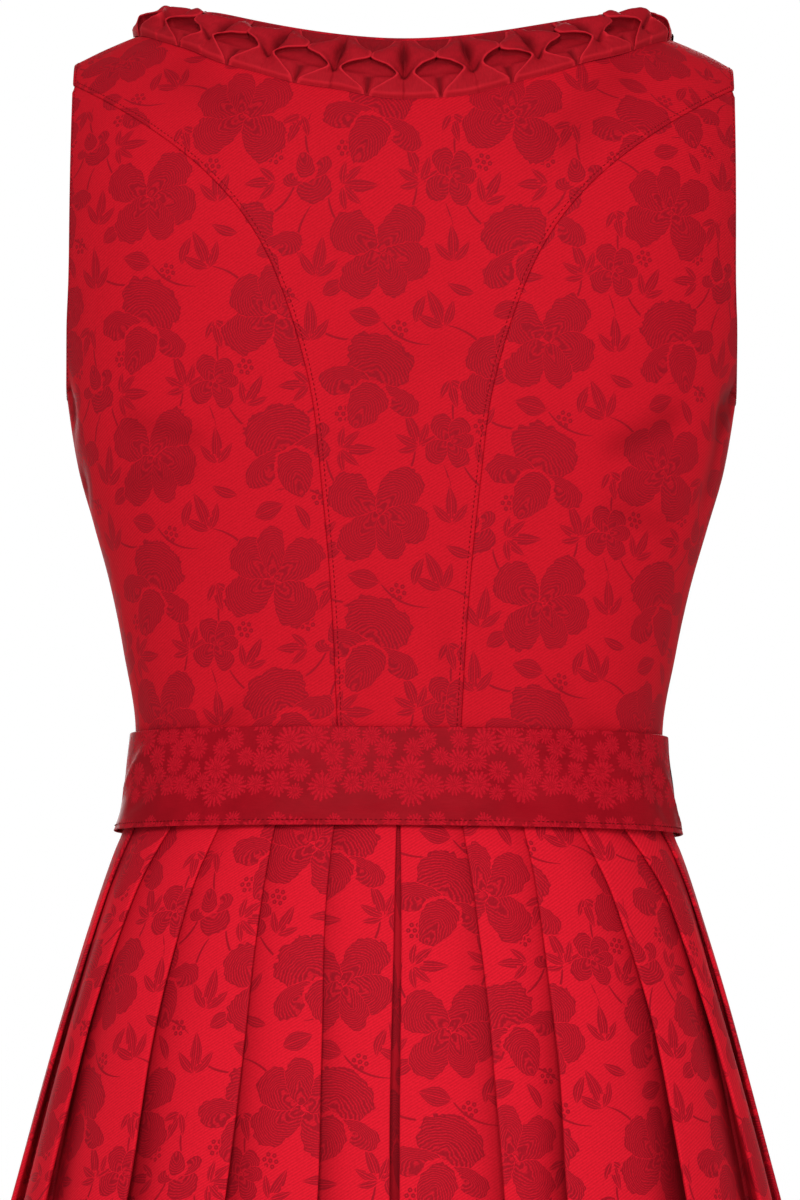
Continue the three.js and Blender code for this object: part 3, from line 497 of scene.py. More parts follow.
@dataclass(frozen=True, eq=False)
class Value:
    """A number in a material's graph. Arithmetic on it adds Math nodes."""

    graph: Graph
    socket: Socket

    def __add__(self, other: Value | float) -> Value:
        """The sum."""
        return self.graph.math("ADD", self, other)

    def __sub__(self, other: Value | float) -> Value:
        """The difference."""
        return self.graph.math("SUBTRACT", self, other)

    def __rsub__(self, other: float) -> Value:
        """A plain number less this one."""
        return self.graph.math("SUBTRACT", other, self)

    def __mul__(self, other: Value | float) -> Value:
        """The product."""
        return self.graph.math("MULTIPLY", self, other)

    def __truediv__(self, other: Value) -> Value:
        """The quotient."""
        return self.graph.math("DIVIDE", self, other)

    def scaled(self, share: Value | float, shift: Value | float) -> Value:
        """The product with share, and shift added, in one node."""
        return self.graph.math("MULTIPLY_ADD", self, share, shift)

    def root(self) -> Value:
        """The square root."""
        return self.graph.math("SQRT", self)

    def cosine(self) -> Value:
        """The cosine."""
        return self.graph.math("COSINE", self)

    def size(self) -> Value:
        """The number without its sign."""
        return self.graph.math("ABSOLUTE", self)


class Graph:
    """Builds a material's nodes, one plain call for each step."""

    def __init__(self, name: str) -> None:
        """Starts a material with one shader.

        Args:
            name: the material's name.
        """
        self.material = bpy.data.materials.new(name)
        self.material.use_nodes = True
        self.tree = self.material.node_tree
        self.tree.nodes.clear()
        self.shader = self.node("BsdfPrincipled")
        output = self.node("OutputMaterial")
        self.tree.links.new(self.shader.outputs[0], output.inputs["Surface"])

    def node(self, kind: str, *values: object, **settings: object) -> bpy.types.Node:
        """Adds a node.

        Args:
            kind: its type, without the word that all of them start with.
            values: what its first inputs get.
            settings: its properties.

        Returns:
            The node.
        """
        node = self.tree.nodes.new("ShaderNode" + kind)
        for name, setting in settings.items():
            setattr(node, name, setting)
        for socket, value in zip(node.inputs, values):
            self.feed(socket, value)
        return node

    def feed(self, socket: Socket, value: object) -> None:
        """Links a socket, or sets its value."""
        if isinstance(value, Value):
            value = value.socket
        if isinstance(value, Socket):
            self.tree.links.new(value, socket)
        else:
            socket.default_value = value

    def set(self, node: bpy.types.Node, inputs: dict[str, object]) -> None:
        """Feeds a node's inputs by their names."""
        for name, value in inputs.items():
            self.feed(node.inputs[name], value)

    def math(self, operation: str, *values: object, clamp: bool = False) -> Value:
        """A Math node's result."""
        return Value(self, self.node("Math", *values, operation=operation, use_clamp=clamp).outputs[0])

    def ramp(self, value: Value, low: float, high: float, first: float = 0, last: float = 1) -> Value:
        """Goes smoothly from first to last while value goes from low to high."""
        node = self.node("MapRange", value, low, high, first, last, interpolation_type="SMOOTHSTEP")
        return Value(self, node.outputs[0])

    def mix(self, share: Value, first: Value | float, second: Value | float) -> Value:
        """A blend of two numbers."""
        node = self.node("Mix", share)
        self.feed(node.inputs[2], first)
        self.feed(node.inputs[3], second)
        return Value(self, node.outputs[0])

    def colour(self, share: Value, first: object, second: object) -> Socket:
        """A blend of two colours."""
        node = self.node("Mix", share, data_type="RGBA")
        self.feed(node.inputs[6], first)
        self.feed(node.inputs[7], second)
        return node.outputs[2]

    def attribute(self, name: str) -> tuple[Value, ...]:
        """The three numbers of one of the piece's own attributes."""
        source = self.node("Attribute", attribute_name=name)
        parts = self.node("SeparateXYZ", source.outputs["Vector"])
        return tuple(Value(self, part) for part in parts.outputs)

    def scaled(self, vector: Socket, sizes: Sequence[float], turn: float = 0.0) -> object:
        """Coordinates counted in units of the given sizes in millimetres, after a turn in degrees."""
        node = self.node("Mapping", vector)
        self.set(node, {
            "Rotation": (0, 0, math.radians(turn)),
            "Scale": tuple(1 / (size * MM) if size else 1 for size in sizes),
        })
        return node.outputs[0]

    def flat(self, along_it: float, up: float, turn: float = 0.0) -> Socket:
        """The cloth's flat coordinates, turned and counted in threads of the given sizes."""
        return self.scaled(self.node("UVMap", uv_map="cloth").outputs[0], (along_it, up, 0), turn)

    def place(self, size: float) -> Socket:
        """Object coordinates in units of size millimetres."""
        return self.scaled(self.node("TexCoord").outputs["Object"], (size,) * 3)

    def noise(self, vector: object, detail: float = 2.0, rough: float = 0.5) -> Value:
        """Soft noise from 0 to 1."""
        node = self.node("TexNoise", vector)
        self.set(node, {"Scale": 1.0, "Detail": detail, "Roughness": rough})
        return Value(self, node.outputs[0])

    def bands(self, vector: object) -> Value:
        """Soft stripes across the first coordinate, one per unit."""
        node = self.node("TexWave", vector)
        self.set(node, {"Scale": math.pi / 10, "Distortion": 0.0})
        return Value(self, node.outputs["Fac"])

    def relief(self, height: Value, depth: float, under: object | None = None) -> Socket:
        """A Bump node's normal, for a height from 0 to 1 over depth millimetres."""
        node = self.node("Bump")
        self.set(node, {"Strength": 1.0, "Distance": depth * MM, "Height": height})
        if under is not None:
            self.feed(node.inputs["Normal"], under)
        return node.outputs[0]


def shade(colour: Colour, share: float) -> Colour:
    """A colour made darker or lighter."""
    return tuple(channel * share for channel in colour[:3]) + (1,)


@dataclass(frozen=True)
class Stitched:
    """One layer's drawing: how dark it is, and whether a place lies inside its outline."""

    inside: Value
    dark: Value


OPEN_FLOWER = (
    (0.42, 0.30, 0.56, 0.44, 36, 0.5),
    (-0.10, 0.56, 0.45, 0.42, 100, 0.5),
    (0.20, -0.52, 0.48, 0.47, -68, 0.5),
    (-0.50, -0.24, 0.52, 0.40, 206, 0.5),
    (-0.44, 0.30, 0.44, 0.30, 150, 0.5),
)
CUP_FLOWER = (
    (0.34, -0.04, 0.62, 0.78, 4, 0.5),
    (-0.12, 0.60, 0.48, 0.27, 100, 0.7),
    (-0.16, -0.52, 0.50, 0.32, -112, 0.7),
    (-0.50, 0.04, 0.50, 0.42, 10, 1.5),
)
WHOLE_TURN = 2 * math.pi


class FigureShader:
    """Draws the woven figures from the attributes that the cloth's faces carry."""

    def __init__(self, graph: Graph) -> None:
        """Keeps the graph."""
        self.graph = graph

    def drawn(self, depth: Value) -> Value:
        """1 inside an outline and 0 outside it, from the depth inside it in millimetres."""
        return self.graph.ramp(depth, -0.12, 0.12)

    def flower(
        self, layer: str, petals: Sequence[tuple[float, ...]], heart: float, ripple: Value, broken: Value
    ) -> Stitched:
        """A flower of broad petals that lie over each other, hatched in rows round its heart.

        Args:
            layer: the attribute that places the flowers.
            petals: each petal's middle x and y, its half length and half width as shares
                of the flower's radius, its angle in degrees, and the light line that it
                leaves round itself in millimetres, from the hindmost to the foremost.
            heart: where the rows' centre lies on the flower's axis.
            ripple: noise that makes the petals' edges wavy.
            broken: noise that breaks the rows.

        Returns:
            The flower's drawing.
        """
        g = self.graph
        row_pitch = 1.15
        x, y, size = g.attribute(layer)
        scale = size * 0.42
        depth = None
        for middle_x, middle_y, length, width, turn, line in petals:
            c, n = math.cos(math.radians(turn)), math.sin(math.radians(turn))
            a = y.scaled(n / length, x.scaled(c / length, -(middle_x * c + middle_y * n) / length))
            b = y.scaled(c / width, x.scaled(-n / width, (middle_x * n - middle_y * c) / width))
            b = b / a.scaled(0.26, 0.86)
            mine = (ripple - b.scaled(b, a * a).root()) * scale
            depth = mine if depth is None else g.mix(g.math("GREATER_THAN", mine, -line), depth, mine)
        from_heart = x - heart
        rows = y.scaled(y, from_heart * from_heart).root() * size
        rows = rows.scaled(0.62, depth * -0.5)
        light = (rows * (WHOLE_TURN / row_pitch)).cosine() + broken
        fill = g.mix(g.ramp(depth, 0.3, 0.55), 1.0, g.ramp(light, -0.3, 0.9, 1.0, 0.30))
        return Stitched(g.ramp(depth, -0.9, -0.6), fill * self.drawn(depth))

    def daisy(self, broken: Value, layer: str = "blossoms") -> Value:
        """A small shaggy daisy: many thin ragged petals round a speckled heart.

        Args:
            broken: noise that frays it.
            layer: the attribute that places the daisies.

        Returns:
            How strongly the figure's colour shows, from 0 to 1.
        """
        g = self.graph
        petals, waves = 15.0, 3.0
        x, y, size = g.attribute(layer)
        radius = (x * x + y * y).root()
        angle = g.math("ARCTAN2", y, x)
        ray = (angle * waves).cosine().scaled(0.5, angle * petals).cosine()
        ragged = broken.scaled(0.16, angle.scaled(5.0, 1.0).cosine().scaled(0.07, 0.84))
        inside = g.ramp((ray.scaled(0.13, ragged) - radius) * size, -0.25, 0.25)
        ring = (radius * 14.0).cosine()
        rays = g.ramp(ring.scaled(0.4, ray) + broken, -1.0, 0.3, 0.25, 1.0)
        speckle = g.ramp(broken, -0.3, 0.3, 0.3, 0.9)
        return inside * g.mix(g.ramp(radius, 0.20, 0.28), speckle, rays)

    def leaf(self, broken: Value, layer: str = "leaves") -> Stitched:
        """A pointed leaf: its half width is (1 - s squared) (1 - s / 4), with hatching along it.

        Args:
            broken: noise that breaks the hatching.
            layer: the attribute that places the leaves.

        Returns:
            The leaf's drawing.
        """
        g = self.graph
        line_pitch = 1.25
        s, t, width = g.attribute(layer)
        profile = g.math("MAXIMUM", 1.0 - s * s, 0.0) * s.scaled(-0.25, 1.0)
        depth = (profile - t.size()) * width
        share = t / g.math("MAXIMUM", profile, 0.15)
        lines = (share * width * (WHOLE_TURN / line_pitch)).cosine()
        fill = g.ramp(lines + broken, -0.2, 0.9, 1.0, 0.36)
        rib = g.ramp((t * width).size(), 0.15, 0.4, 0.3, 1.0)
        dark = g.mix(g.ramp(depth, 0.2, 0.45), 1.0, fill) * rib
        return Stitched(g.ramp(depth, -0.8, -0.4), dark * self.drawn(depth))

    def stem(self) -> Value:
        """A thin curved line that tapers at its ends."""
        s, t, width = self.graph.attribute("stems")
        line = self.drawn((1.0 - s * s * 0.8 - t.size()) * width)
        return line * self.graph.ramp(s.size(), 0.96, 1.0, 1.0, 0.0)

    def berries(self) -> Value:
        """Seven dots: one in the middle and six round it."""
        g = self.graph
        count, ring_radius = 6, 3.1
        x, y, size = g.attribute("berries")
        radius = (x * x + y * y).root() * size
        sector = g.math("ARCTAN2", y, x) * (count / WHOLE_TURN)
        turn = (g.math("FRACT", sector + 12.5) - 0.5) * (WHOLE_TURN / count)
        beside = radius * g.math("SINE", turn)
        out = radius * turn.cosine() - ring_radius
        near = g.math("MINIMUM", (beside * beside + out * out).root(), radius)
        return g.ramp(near, 1.0, 1.2, 1.0, 0.0) * g.ramp(near, 0.25, 0.5, 0.3, 1.0)


@dataclass(frozen=True)
class Finish:
    """A finish by its name and the colour of its ground."""

    name: str
    ground: Colour

    def make(self) -> Material:
        """Builds the material."""
        graph = Graph(self.name)
        graph.set(graph.shader, self.inputs(graph))
        return graph.material

    def inputs(self, g: Graph) -> dict[str, object]:
        """Adds the nodes that feed the shader.

        Args:
            g: the material's graph.

        Returns:
            A value, a colour or a node's output for each of the shader's inputs by its name.
        """
        raise NotImplementedError


@dataclass(frozen=True)
class JacquardFinish(Finish):
    """Cotton jacquard: a matt ground with figures woven a little darker, and painted shade in its
    hollows, from the tone attribute.

    The fields name the figures' colour, and in millimetres and degrees the size of a
    thread's fleck, the pitch and slant of the twill, and the size of soft patches.
    """

    figure: Colour
    roughness: float = 0.78
    fleck: tuple[float, float] = (0.5, 2.6)
    twill: float = 1.35
    slant: float = -58.0
    patch: float = 26.0

    def inputs(self, g: Graph) -> dict[str, object]:
        """Adds the nodes that feed the shader."""
        figures = FigureShader(g)
        scribble = g.noise(g.flat(1.1, 1.1), 2.0, 0.6)
        broken = scribble.scaled(3.2, -1.6)
        ripple = g.noise(g.flat(6.0, 6.0), 2.0, 0.6).scaled(0.5, 0.75)
        dark = g.math("MAXIMUM", figures.stem(), figures.berries())
        for drawing in (
            figures.leaf(broken),
            figures.flower("cups", CUP_FLOWER, -0.95, ripple, broken),
            figures.flower("blossoms", OPEN_FLOWER, 0.0, ripple, broken),
        ):
            dark = dark * (1.0 - drawing.inside) + drawing.dark
        fleck = g.noise(g.flat(*self.fleck), 1.0)
        twill = g.bands(g.flat(self.twill, self.twill, self.slant))
        base = g.colour(dark * g.ramp(fleck, 0.25, 0.7, 0.8, 1.0), self.ground, self.figure)
        patches = g.ramp(g.noise(g.place(self.patch), 3.0), 0.3, 0.7, 0.0, 0.12)
        base = g.colour(patches, base, shade(self.ground, 0.8))
        threads = twill.scaled(0.3, g.ramp(scribble, 0.38, 0.68, 0.0, 0.17))
        base = g.colour(threads, base, shade(self.ground, 0.35))
        # painted shade in creases and pleat hollows, read from the tone attribute
        hollow = g.ramp(g.attribute("tone")[0], 0.0, -1.0, 0.0, 0.8)
        return {
            "Base Color": g.colour(hollow, base, shade(self.ground, 0.12)),
            "Roughness": g.ramp(dark, 0, 1, self.roughness, self.roughness - 0.12),
            "Sheen Weight": 0.05,
            "Sheen Roughness": 0.5,
            "Sheen Tint": (1.0, 0.03, 0.05, 1),
            "Specular IOR Level": 0.05,
            "Normal": g.relief(dark * -1.0, 0.03, g.relief(twill + fleck * 0.8, 0.035)),
        }


@dataclass(frozen=True)
class PlainFinish(Finish):
    """The plain side of the same cloth, as the ruching and the neck's edge show it, with painted highlights
    on rims and painted shade in hollows.
    """

    roughness: float = 0.75

    def inputs(self, g: Graph) -> dict[str, object]:
        """Adds the nodes that feed the shader."""
        twill = g.bands(g.flat(0.7, 0.7, 58.0))
        fleck = g.noise(g.flat(0.9, 3.0), 2.0)
        tone = g.attribute("tone")[0]
        dark = shade(self.ground, 0.62)
        # painted highlight colour for the rims of the folds
        painted_highlight_and_tarnish = tuple(channel * 1.55 + 0.004 for channel in self.ground[:3]) + (1,)
        cloth = g.colour(g.ramp(fleck, 0.35, 0.7, 0.0, 0.4), self.ground, dark)
        cloth = g.colour(twill * 0.14, cloth, dark)
        # painted highlight where tone is above 0, painted shade where it is below 0
        cloth = g.colour(g.ramp(tone, 0.0, 1.0, 0.0, 0.75), cloth, painted_highlight_and_tarnish)
        return {
            "Base Color": g.colour(g.ramp(tone, 0.0, -1.0, 0.0, 0.85), cloth, shade(self.ground, 0.38)),
            "Roughness": self.roughness,
            "Sheen Weight": 0.04,
            "Sheen Tint": (1.0, 0.05, 0.08, 1),
            "Specular IOR Level": 0.07,
            "Normal": g.relief(twill + fleck, 0.04),
        }


@dataclass(frozen=True)
class SatinFinish(Finish):
    """The apron's damask: a satin ground with small daisies."""

    figure: Colour

    def inputs(self, g: Graph) -> dict[str, object]:
        """Adds the nodes that feed the shader."""
        scribble = g.noise(g.flat(0.9, 0.9), 2.0, 0.6)
        flower = FigureShader(g).daisy(scribble.scaled(4.4, -2.2))
        slub = g.noise(g.flat(9.0, 0.35), 2.0)
        shag = g.noise(g.flat(0.55, 1.3, 20.0), 2.0, 0.7)
        crinkle = g.noise(g.flat(14.0, 5.0, 28.0), 3.0)
        deep = shade(self.ground, 0.72)
        base = g.colour(g.ramp(g.noise(g.place(18.0), 3.0), 0.35, 0.7, 0.0, 0.5), self.ground, deep)
        base = g.colour(g.ramp(slub, 0.4, 0.75, 0.0, 0.25), base, deep)
        return {
            "Base Color": g.colour(flower * g.ramp(shag, 0.35, 0.62, 0.45, 1.0), base, self.figure),
            "Roughness": g.ramp(flower, 0, 1, 0.5, 0.65),
            "Specular IOR Level": 0.03,
            "Normal": g.relief(crinkle * 2.2 + flower * 0.5, 0.14, g.relief(slub, 0.03)),
        }


@dataclass(frozen=True)
class ThreadFinish(Finish):
    """Sewing thread."""

    def inputs(self, g: Graph) -> dict[str, object]:
        """Adds the nodes that feed the shader."""
        twist = g.noise(g.place(0.5), 1.0)
        return {
            "Base Color": g.colour(twist, self.ground, shade(self.ground, 0.6)),
            "Roughness": 0.7,
            "Specular IOR Level": 0.05,
        }


@dataclass(frozen=True)
class BrassFinish(Finish):
    """Old brass, darker in its hollows."""

    tarnish: Colour

    def inputs(self, g: Graph) -> dict[str, object]:
        """Adds the nodes that feed the shader."""
        spots = g.noise(g.place(2.4), 3.0)
        painted_highlight_and_tarnish = g.attribute("hollow")[0] * 0.8
        share = g.math("ADD", g.ramp(spots, 0.4, 0.7, 0.0, 0.5), painted_highlight_and_tarnish, clamp=True)
        return {
            "Base Color": g.colour(share, self.ground, self.tarnish),
            "Metallic": 0.9,
            "Roughness": g.ramp(share, 0, 1, 0.32, 0.62),
            "Normal": g.relief(spots, 0.05),
        }


@dataclass(frozen=True)
class FloorFinish(Finish):
    """Pale matt studio paper with a painted glow that grows towards its edge, so that it runs into the
    surround.
    """

    def inputs(self, g: Graph) -> dict[str, object]:
        """Adds the nodes that feed the shader."""
        grain = g.noise(g.place(6.0), 2.0)
        return {
            "Base Color": g.colour(grain, self.ground, shade(self.ground, 1.03)),
            "Roughness": 0.9,
            "Emission Color": (1, 1, 1, 1),
            # painted glow, stronger towards the floor's edge
            "Emission Strength": g.attribute("far")[0] * 0.6,
        }


# ---- the figure

WAIST = -358.0
BODICE_END = -385.0
SKIRT_TOP = -387.0
BAND_BOTTOM = -406.0
HEM = -1090.0
APRON_HEM = -1035.0
UNDERARM = -190.0
YOKE = -110.0
YOKE_HALF_WIDTH = 172.0
YOKE_SQUARENESS = 2.5
RIDGE_CLIMB = 170.0
STRAP_END = 164.0
NECK_CORNER = 0.62
ARMHOLE_BACK_SPREAD = 19.5
ARMHOLE_FRONT_SPREAD = 27.0
SIDE_PANEL_TIP = 4.0
PLEATS = 12


@dataclass(frozen=True)
class Edge:
    """A rounded edge round the neck: its half width and its heights at the back and front."""

    half: float
    back: float
    front: float
    curve: float


NECK = Edge(100.0, -20.0, -162.0, 1.85)
STRIP_END = Edge(134.0, -53.5, -199.0, 1.7)


@dataclass(frozen=True)
class Crease:
    """A soft trough (or ridge, with a negative depth) along a straight stretch."""

    x1: float
    y1: float
    x2: float
    y2: float
    width: float
    depth: float

    def height(self, x: Array, y: Array) -> Array:
        """Height of the surface there: a bell across the stretch that fades at its ends."""
        dx, dy = self.x2 - self.x1, self.y2 - self.y1
        length = math.hypot(dx, dy)
        t = ((x - self.x1) * dx + (y - self.y1) * dy) / length**2
        off = ((x - self.x1) * dy - (y - self.y1) * dx) / length
        fade = smooth(t, -0.15, 0.25) * (1 - smooth(t, 0.75, 1.15))
        return -1.5 * self.depth * fade * bell(off, 0, self.width)


def creased(x: Array, y: Array, creases: Sequence[Crease]) -> Array:
    """Height of the surface with all its creases."""
    return sum((crease.height(x, y) for crease in creases), np.zeros(np.broadcast(x, y).shape))


class Figure:
    """The body that the bodice is cut for.

    A place on it is a pair of turn, the degrees round the body from the centre back
    towards +X, and climb, the height above the yoke line. Above that line the climb
    goes over the rounded shoulder as a quarter ellipse and ends on its ridge.
    """

    def __init__(self) -> None:
        """Makes the smooth curves through the tables of level sections."""
        levels = [20, -60, -110, -150, -190, -225, -255, -285, -315, -358, -390]
        self.half = Column(levels, [172, 172, 172, 171, 166, 160.2, 151.7, 143.3, 136.9, 130.2, 130.4])
        self.back = Column(levels, [95, 99, 101, 101, 99, 95.5, 92, 88.5, 84.5, 81, 81.4])
        self.front = Column(levels, [72, 88, 100, 112, 124, 131, 132, 124, 112, 98, 98.2])
        self.square = Column(levels, [2.5, 2.5, 2.5, 2.4, 2.3, 2.25, 2.2, 2.2, 2.2, 2.2, 2.2])
        self.ridge = Column(
            [0, 50, 80, 100, 118, 136, 150, 164, 180], [14, 11, 6.5, 1, -5.5, -12, -18, -25, -32]
        )
        self._climbs = np.linspace(BODICE_END - YOKE - 5, RIDGE_CLIMB, 240)
        self._arcs = travelled(self.point(np.linspace(0, 180, 721)[None], self._climbs[:, None]))

    def point(self, turn: Array, climb: Array) -> Array:
        """Places in space.

        Below the yoke line a point lies on the level superellipse of its height. Above it
        the yoke's superellipse shrinks in depth by the cosine of the climb's angle, while
        the height follows the sine up to the ridge.

        Args:
            turn: degrees round the body.
            climb: heights above the yoke line, of a shape that broadcasts with turn.

        Returns:
            Points in millimetres, (…, 3).
        """
        turn, climb = np.broadcast_arrays(np.asarray(turn, float), np.asarray(climb, float))
        above = climb > 0
        level = YOKE + np.minimum(climb, 0)
        half = np.where(above, YOKE_HALF_WIDTH, self.half(level))
        power = 2 / np.where(above, YOKE_SQUARENESS, self.square(level))
        sine, cosine = np.sin(np.radians(turn)), np.cos(np.radians(turn))
        x = half * signed_power(sine, power)
        angle = np.clip(climb, 0, RIDGE_CLIMB) / RIDGE_CLIMB * np.pi / 2
        z = np.where(above, YOKE + (self.ridge(np.abs(x)) - YOKE) * np.sin(angle), YOKE + climb)
        depth = np.where(cosine >= 0, self.back(z), self.front(z))
        return np.stack([x, depth * signed_power(cosine, power) * np.cos(angle), z], -1)

    def normal(self, turn: Array, climb: Array) -> Array:
        """Outward unit normals, from small steps along both coordinates."""
        step = 0.5
        up = self.point(turn, np.minimum(climb + step, RIDGE_CLIMB)) - self.point(turn, climb - step)
        round_body = self.point(turn + step, climb) - self.point(turn - step, climb)
        return unit(np.cross(up, round_body))

    def lifted(self, places: Array, lift: Array) -> Array:
        """Points at a height over places, (…, 2)."""
        turn, climb = places[..., 0], places[..., 1]
        return self.point(turn, climb) + self.normal(turn, climb) * np.asarray(lift)[..., None]

    def place_at(self, x: Array, z: Array, front: bool) -> Array:
        """The places that have an x and a z: what the method point does, backwards.

        Args:
            x: distances from the middle.
            z: heights.
            front: takes the places on the front.

        Returns:
            Turns and climbs, (…, 2).
        """
        x, z = np.broadcast_arrays(np.asarray(x, float), np.asarray(z, float))
        above = z > YOKE
        half = np.where(above, YOKE_HALF_WIDTH, self.half(z))
        power = np.where(above, YOKE_SQUARENESS, self.square(z)) / 2
        turn = np.degrees(np.arcsin(np.clip(signed_power(x / half, power), -1, 1)))
        share = np.clip((z - YOKE) / (self.ridge(np.abs(x)) - YOKE), 0, 1)
        climb = np.where(above, RIDGE_CLIMB * np.arcsin(share) * 2 / np.pi, z - YOKE)
        if front:
            turn = np.where(x < 0, -180 - turn, 180 - turn)
        return np.stack([turn, climb], -1)

    def flat(self, turn: Array, climb: Array) -> Array:
        """Length along the level section from the centre back, read off a table.

        Args:
            turn: degrees round the body.
            climb: heights above the yoke line.

        Returns:
            The lengths, signed as the turns are.
        """
        arcs, climbs = self._arcs, self._climbs
        column = np.clip(np.abs(turn) / 180, 0, 1) * (arcs.shape[1] - 1)
        row = (climb - climbs[0]) / (climbs[-1] - climbs[0]) * (len(climbs) - 1)
        row = np.clip(row, 0, len(climbs) - 1)
        i = np.minimum(row.astype(int), len(climbs) - 2)
        j = np.minimum(column.astype(int), arcs.shape[1] - 2)
        a, b = row - i, column - j
        low = arcs[i, j] * (1 - b) + arcs[i, j + 1] * b
        high = arcs[i + 1, j] * (1 - b) + arcs[i + 1, j + 1] * b
        return np.sign(turn) * (low * (1 - a) + high * a)

    def spaced(self, places: Array, count: int = 400) -> Array:
        """Spaces an edge's places evenly by their distance on the body."""
        return respaced(self.point(places[:, 0], places[:, 1]), places, count)


FIGURE = Figure()

BACK_SEAM = [
    (28.8, -385), (33, -300), (38.5, -240), (44, -196), (56.5, -152),
    (72, -119), (94.5, -91), (125, -65), (162.8, -38.5),
]
FRONT_SEAM = [
    (52.5, -385), (61, -330), (73, -290), (84, -250), (92, -210), (103, -170), (122, -130), (151, -95),
]


def smooth_line(table: Sequence[tuple[float, float]], per_span: int = 60) -> Array:
    """The curve through a table's points whose tangents are half the chord of the neighbours.

    Args:
        table: the points.
        per_span: how many samples a stretch between two points gets.

    Returns:
        The samples, (count, 2).
    """
    p = np.array(table, float)
    padded = np.concatenate([p[:1], p, p[-1:]])
    t = np.linspace(0, 1, per_span, endpoint=False)[:, None]
    spans = []
    for i in range(len(p) - 1):
        a, b, c, d = padded[i : i + 4]
        v, w = (c - a) / 2, (d - b) / 2
        spans.append((2 * b - 2 * c + v + w) * t**3 + (-3 * b + 3 * c - 2 * v - w) * t**2 + v * t + b)
    return np.concatenate(spans + [p[-1:]])


def facing(turn: Array, climb: Array, front: bool) -> Array:
    """Places of the back, or the ones that mirror them on the front."""
    return np.stack([180 - turn if front else turn, climb], -1)


def armhole_places(share: Array, front: bool) -> Array:
    """The armhole's edge: a quarter ellipse up to the yoke line, then an ease onto the strap.

    Args:
        share: shares of the way from the underarm (0) to the shoulder (1).
        front: gives the front's armhole.

    Returns:
        Places on the figure.
    """
    spread = ARMHOLE_FRONT_SPREAD if front else ARMHOLE_BACK_SPREAD
    strap = FIGURE.place_at(STRAP_END, YOKE, False)[..., 0]
    angle = np.minimum(share * 2, 1) * np.pi / 2
    height = YOKE + (UNDERARM - YOKE) * np.cos(angle)
    low = 90 - spread * np.sin(angle)
    s = np.maximum(share * 2 - 1, 0)
    turn = low + (strap - low) * s * s * (3 - 2 * s)
    return facing(turn, np.where(s > 0, s * RIDGE_CLIMB, height - YOKE), front)


def armhole_share(height: float) -> float:
    """The share of the armhole's edge at which it has this height."""
    rise = float(FIGURE.ridge(np.array(STRAP_END))) - YOKE
    return 0.5 + math.asin(min(max((height - YOKE) / rise, 0), 1)) / math.pi


def back_edge(share: Array, edge: Edge) -> Array:
    """An edge round the back of the neck, from the centre (0) to the shoulder (1)."""
    x = edge.half * np.sin(np.abs(share) * np.pi / 2)
    top = FIGURE.ridge(np.array(edge.half))
    places = FIGURE.place_at(x, edge.back + (top - edge.back) * (x / edge.half) ** edge.curve, False)
    return places * np.stack([np.where(share < 0, -1.0, 1.0), np.ones_like(share)], -1)


def front_edge(share: Array, edge: Edge) -> Array:
    """An edge round the front of the neck, from the centre (0) to the shoulder (1)."""
    angle = share * np.pi / 2
    x = edge.half * np.sin(angle) ** NECK_CORNER
    top = FIGURE.ridge(np.array(edge.half))
    z = top + (edge.front - top) * np.maximum(np.cos(angle), 0) ** NECK_CORNER
    return FIGURE.place_at(x, z, True)


def ridge_places(x: Array, front: bool) -> Array:
    """The shoulder's ridge by distance from the centre, as places of the back or front."""
    turn = FIGURE.place_at(x, YOKE, False)[..., 0]
    return facing(turn, np.full_like(turn, RIDGE_CLIMB), front)


def straight(first: Array, last: Array, count: int = 60) -> Array:
    """Places evenly from one to another."""
    share = np.linspace(0, 1, count + 1)[:, None]
    return first * (1 - share) + last * share


# ---- bodice

TURN_IN = ((6.0, -1.9), (2.4, -1.85), (0.9, -1.7), (0.28, -1.35), (0.0, -0.85))
ROLL_OVER = ((0.1, -0.45), (0.4, -0.18), (0.9, -0.04))


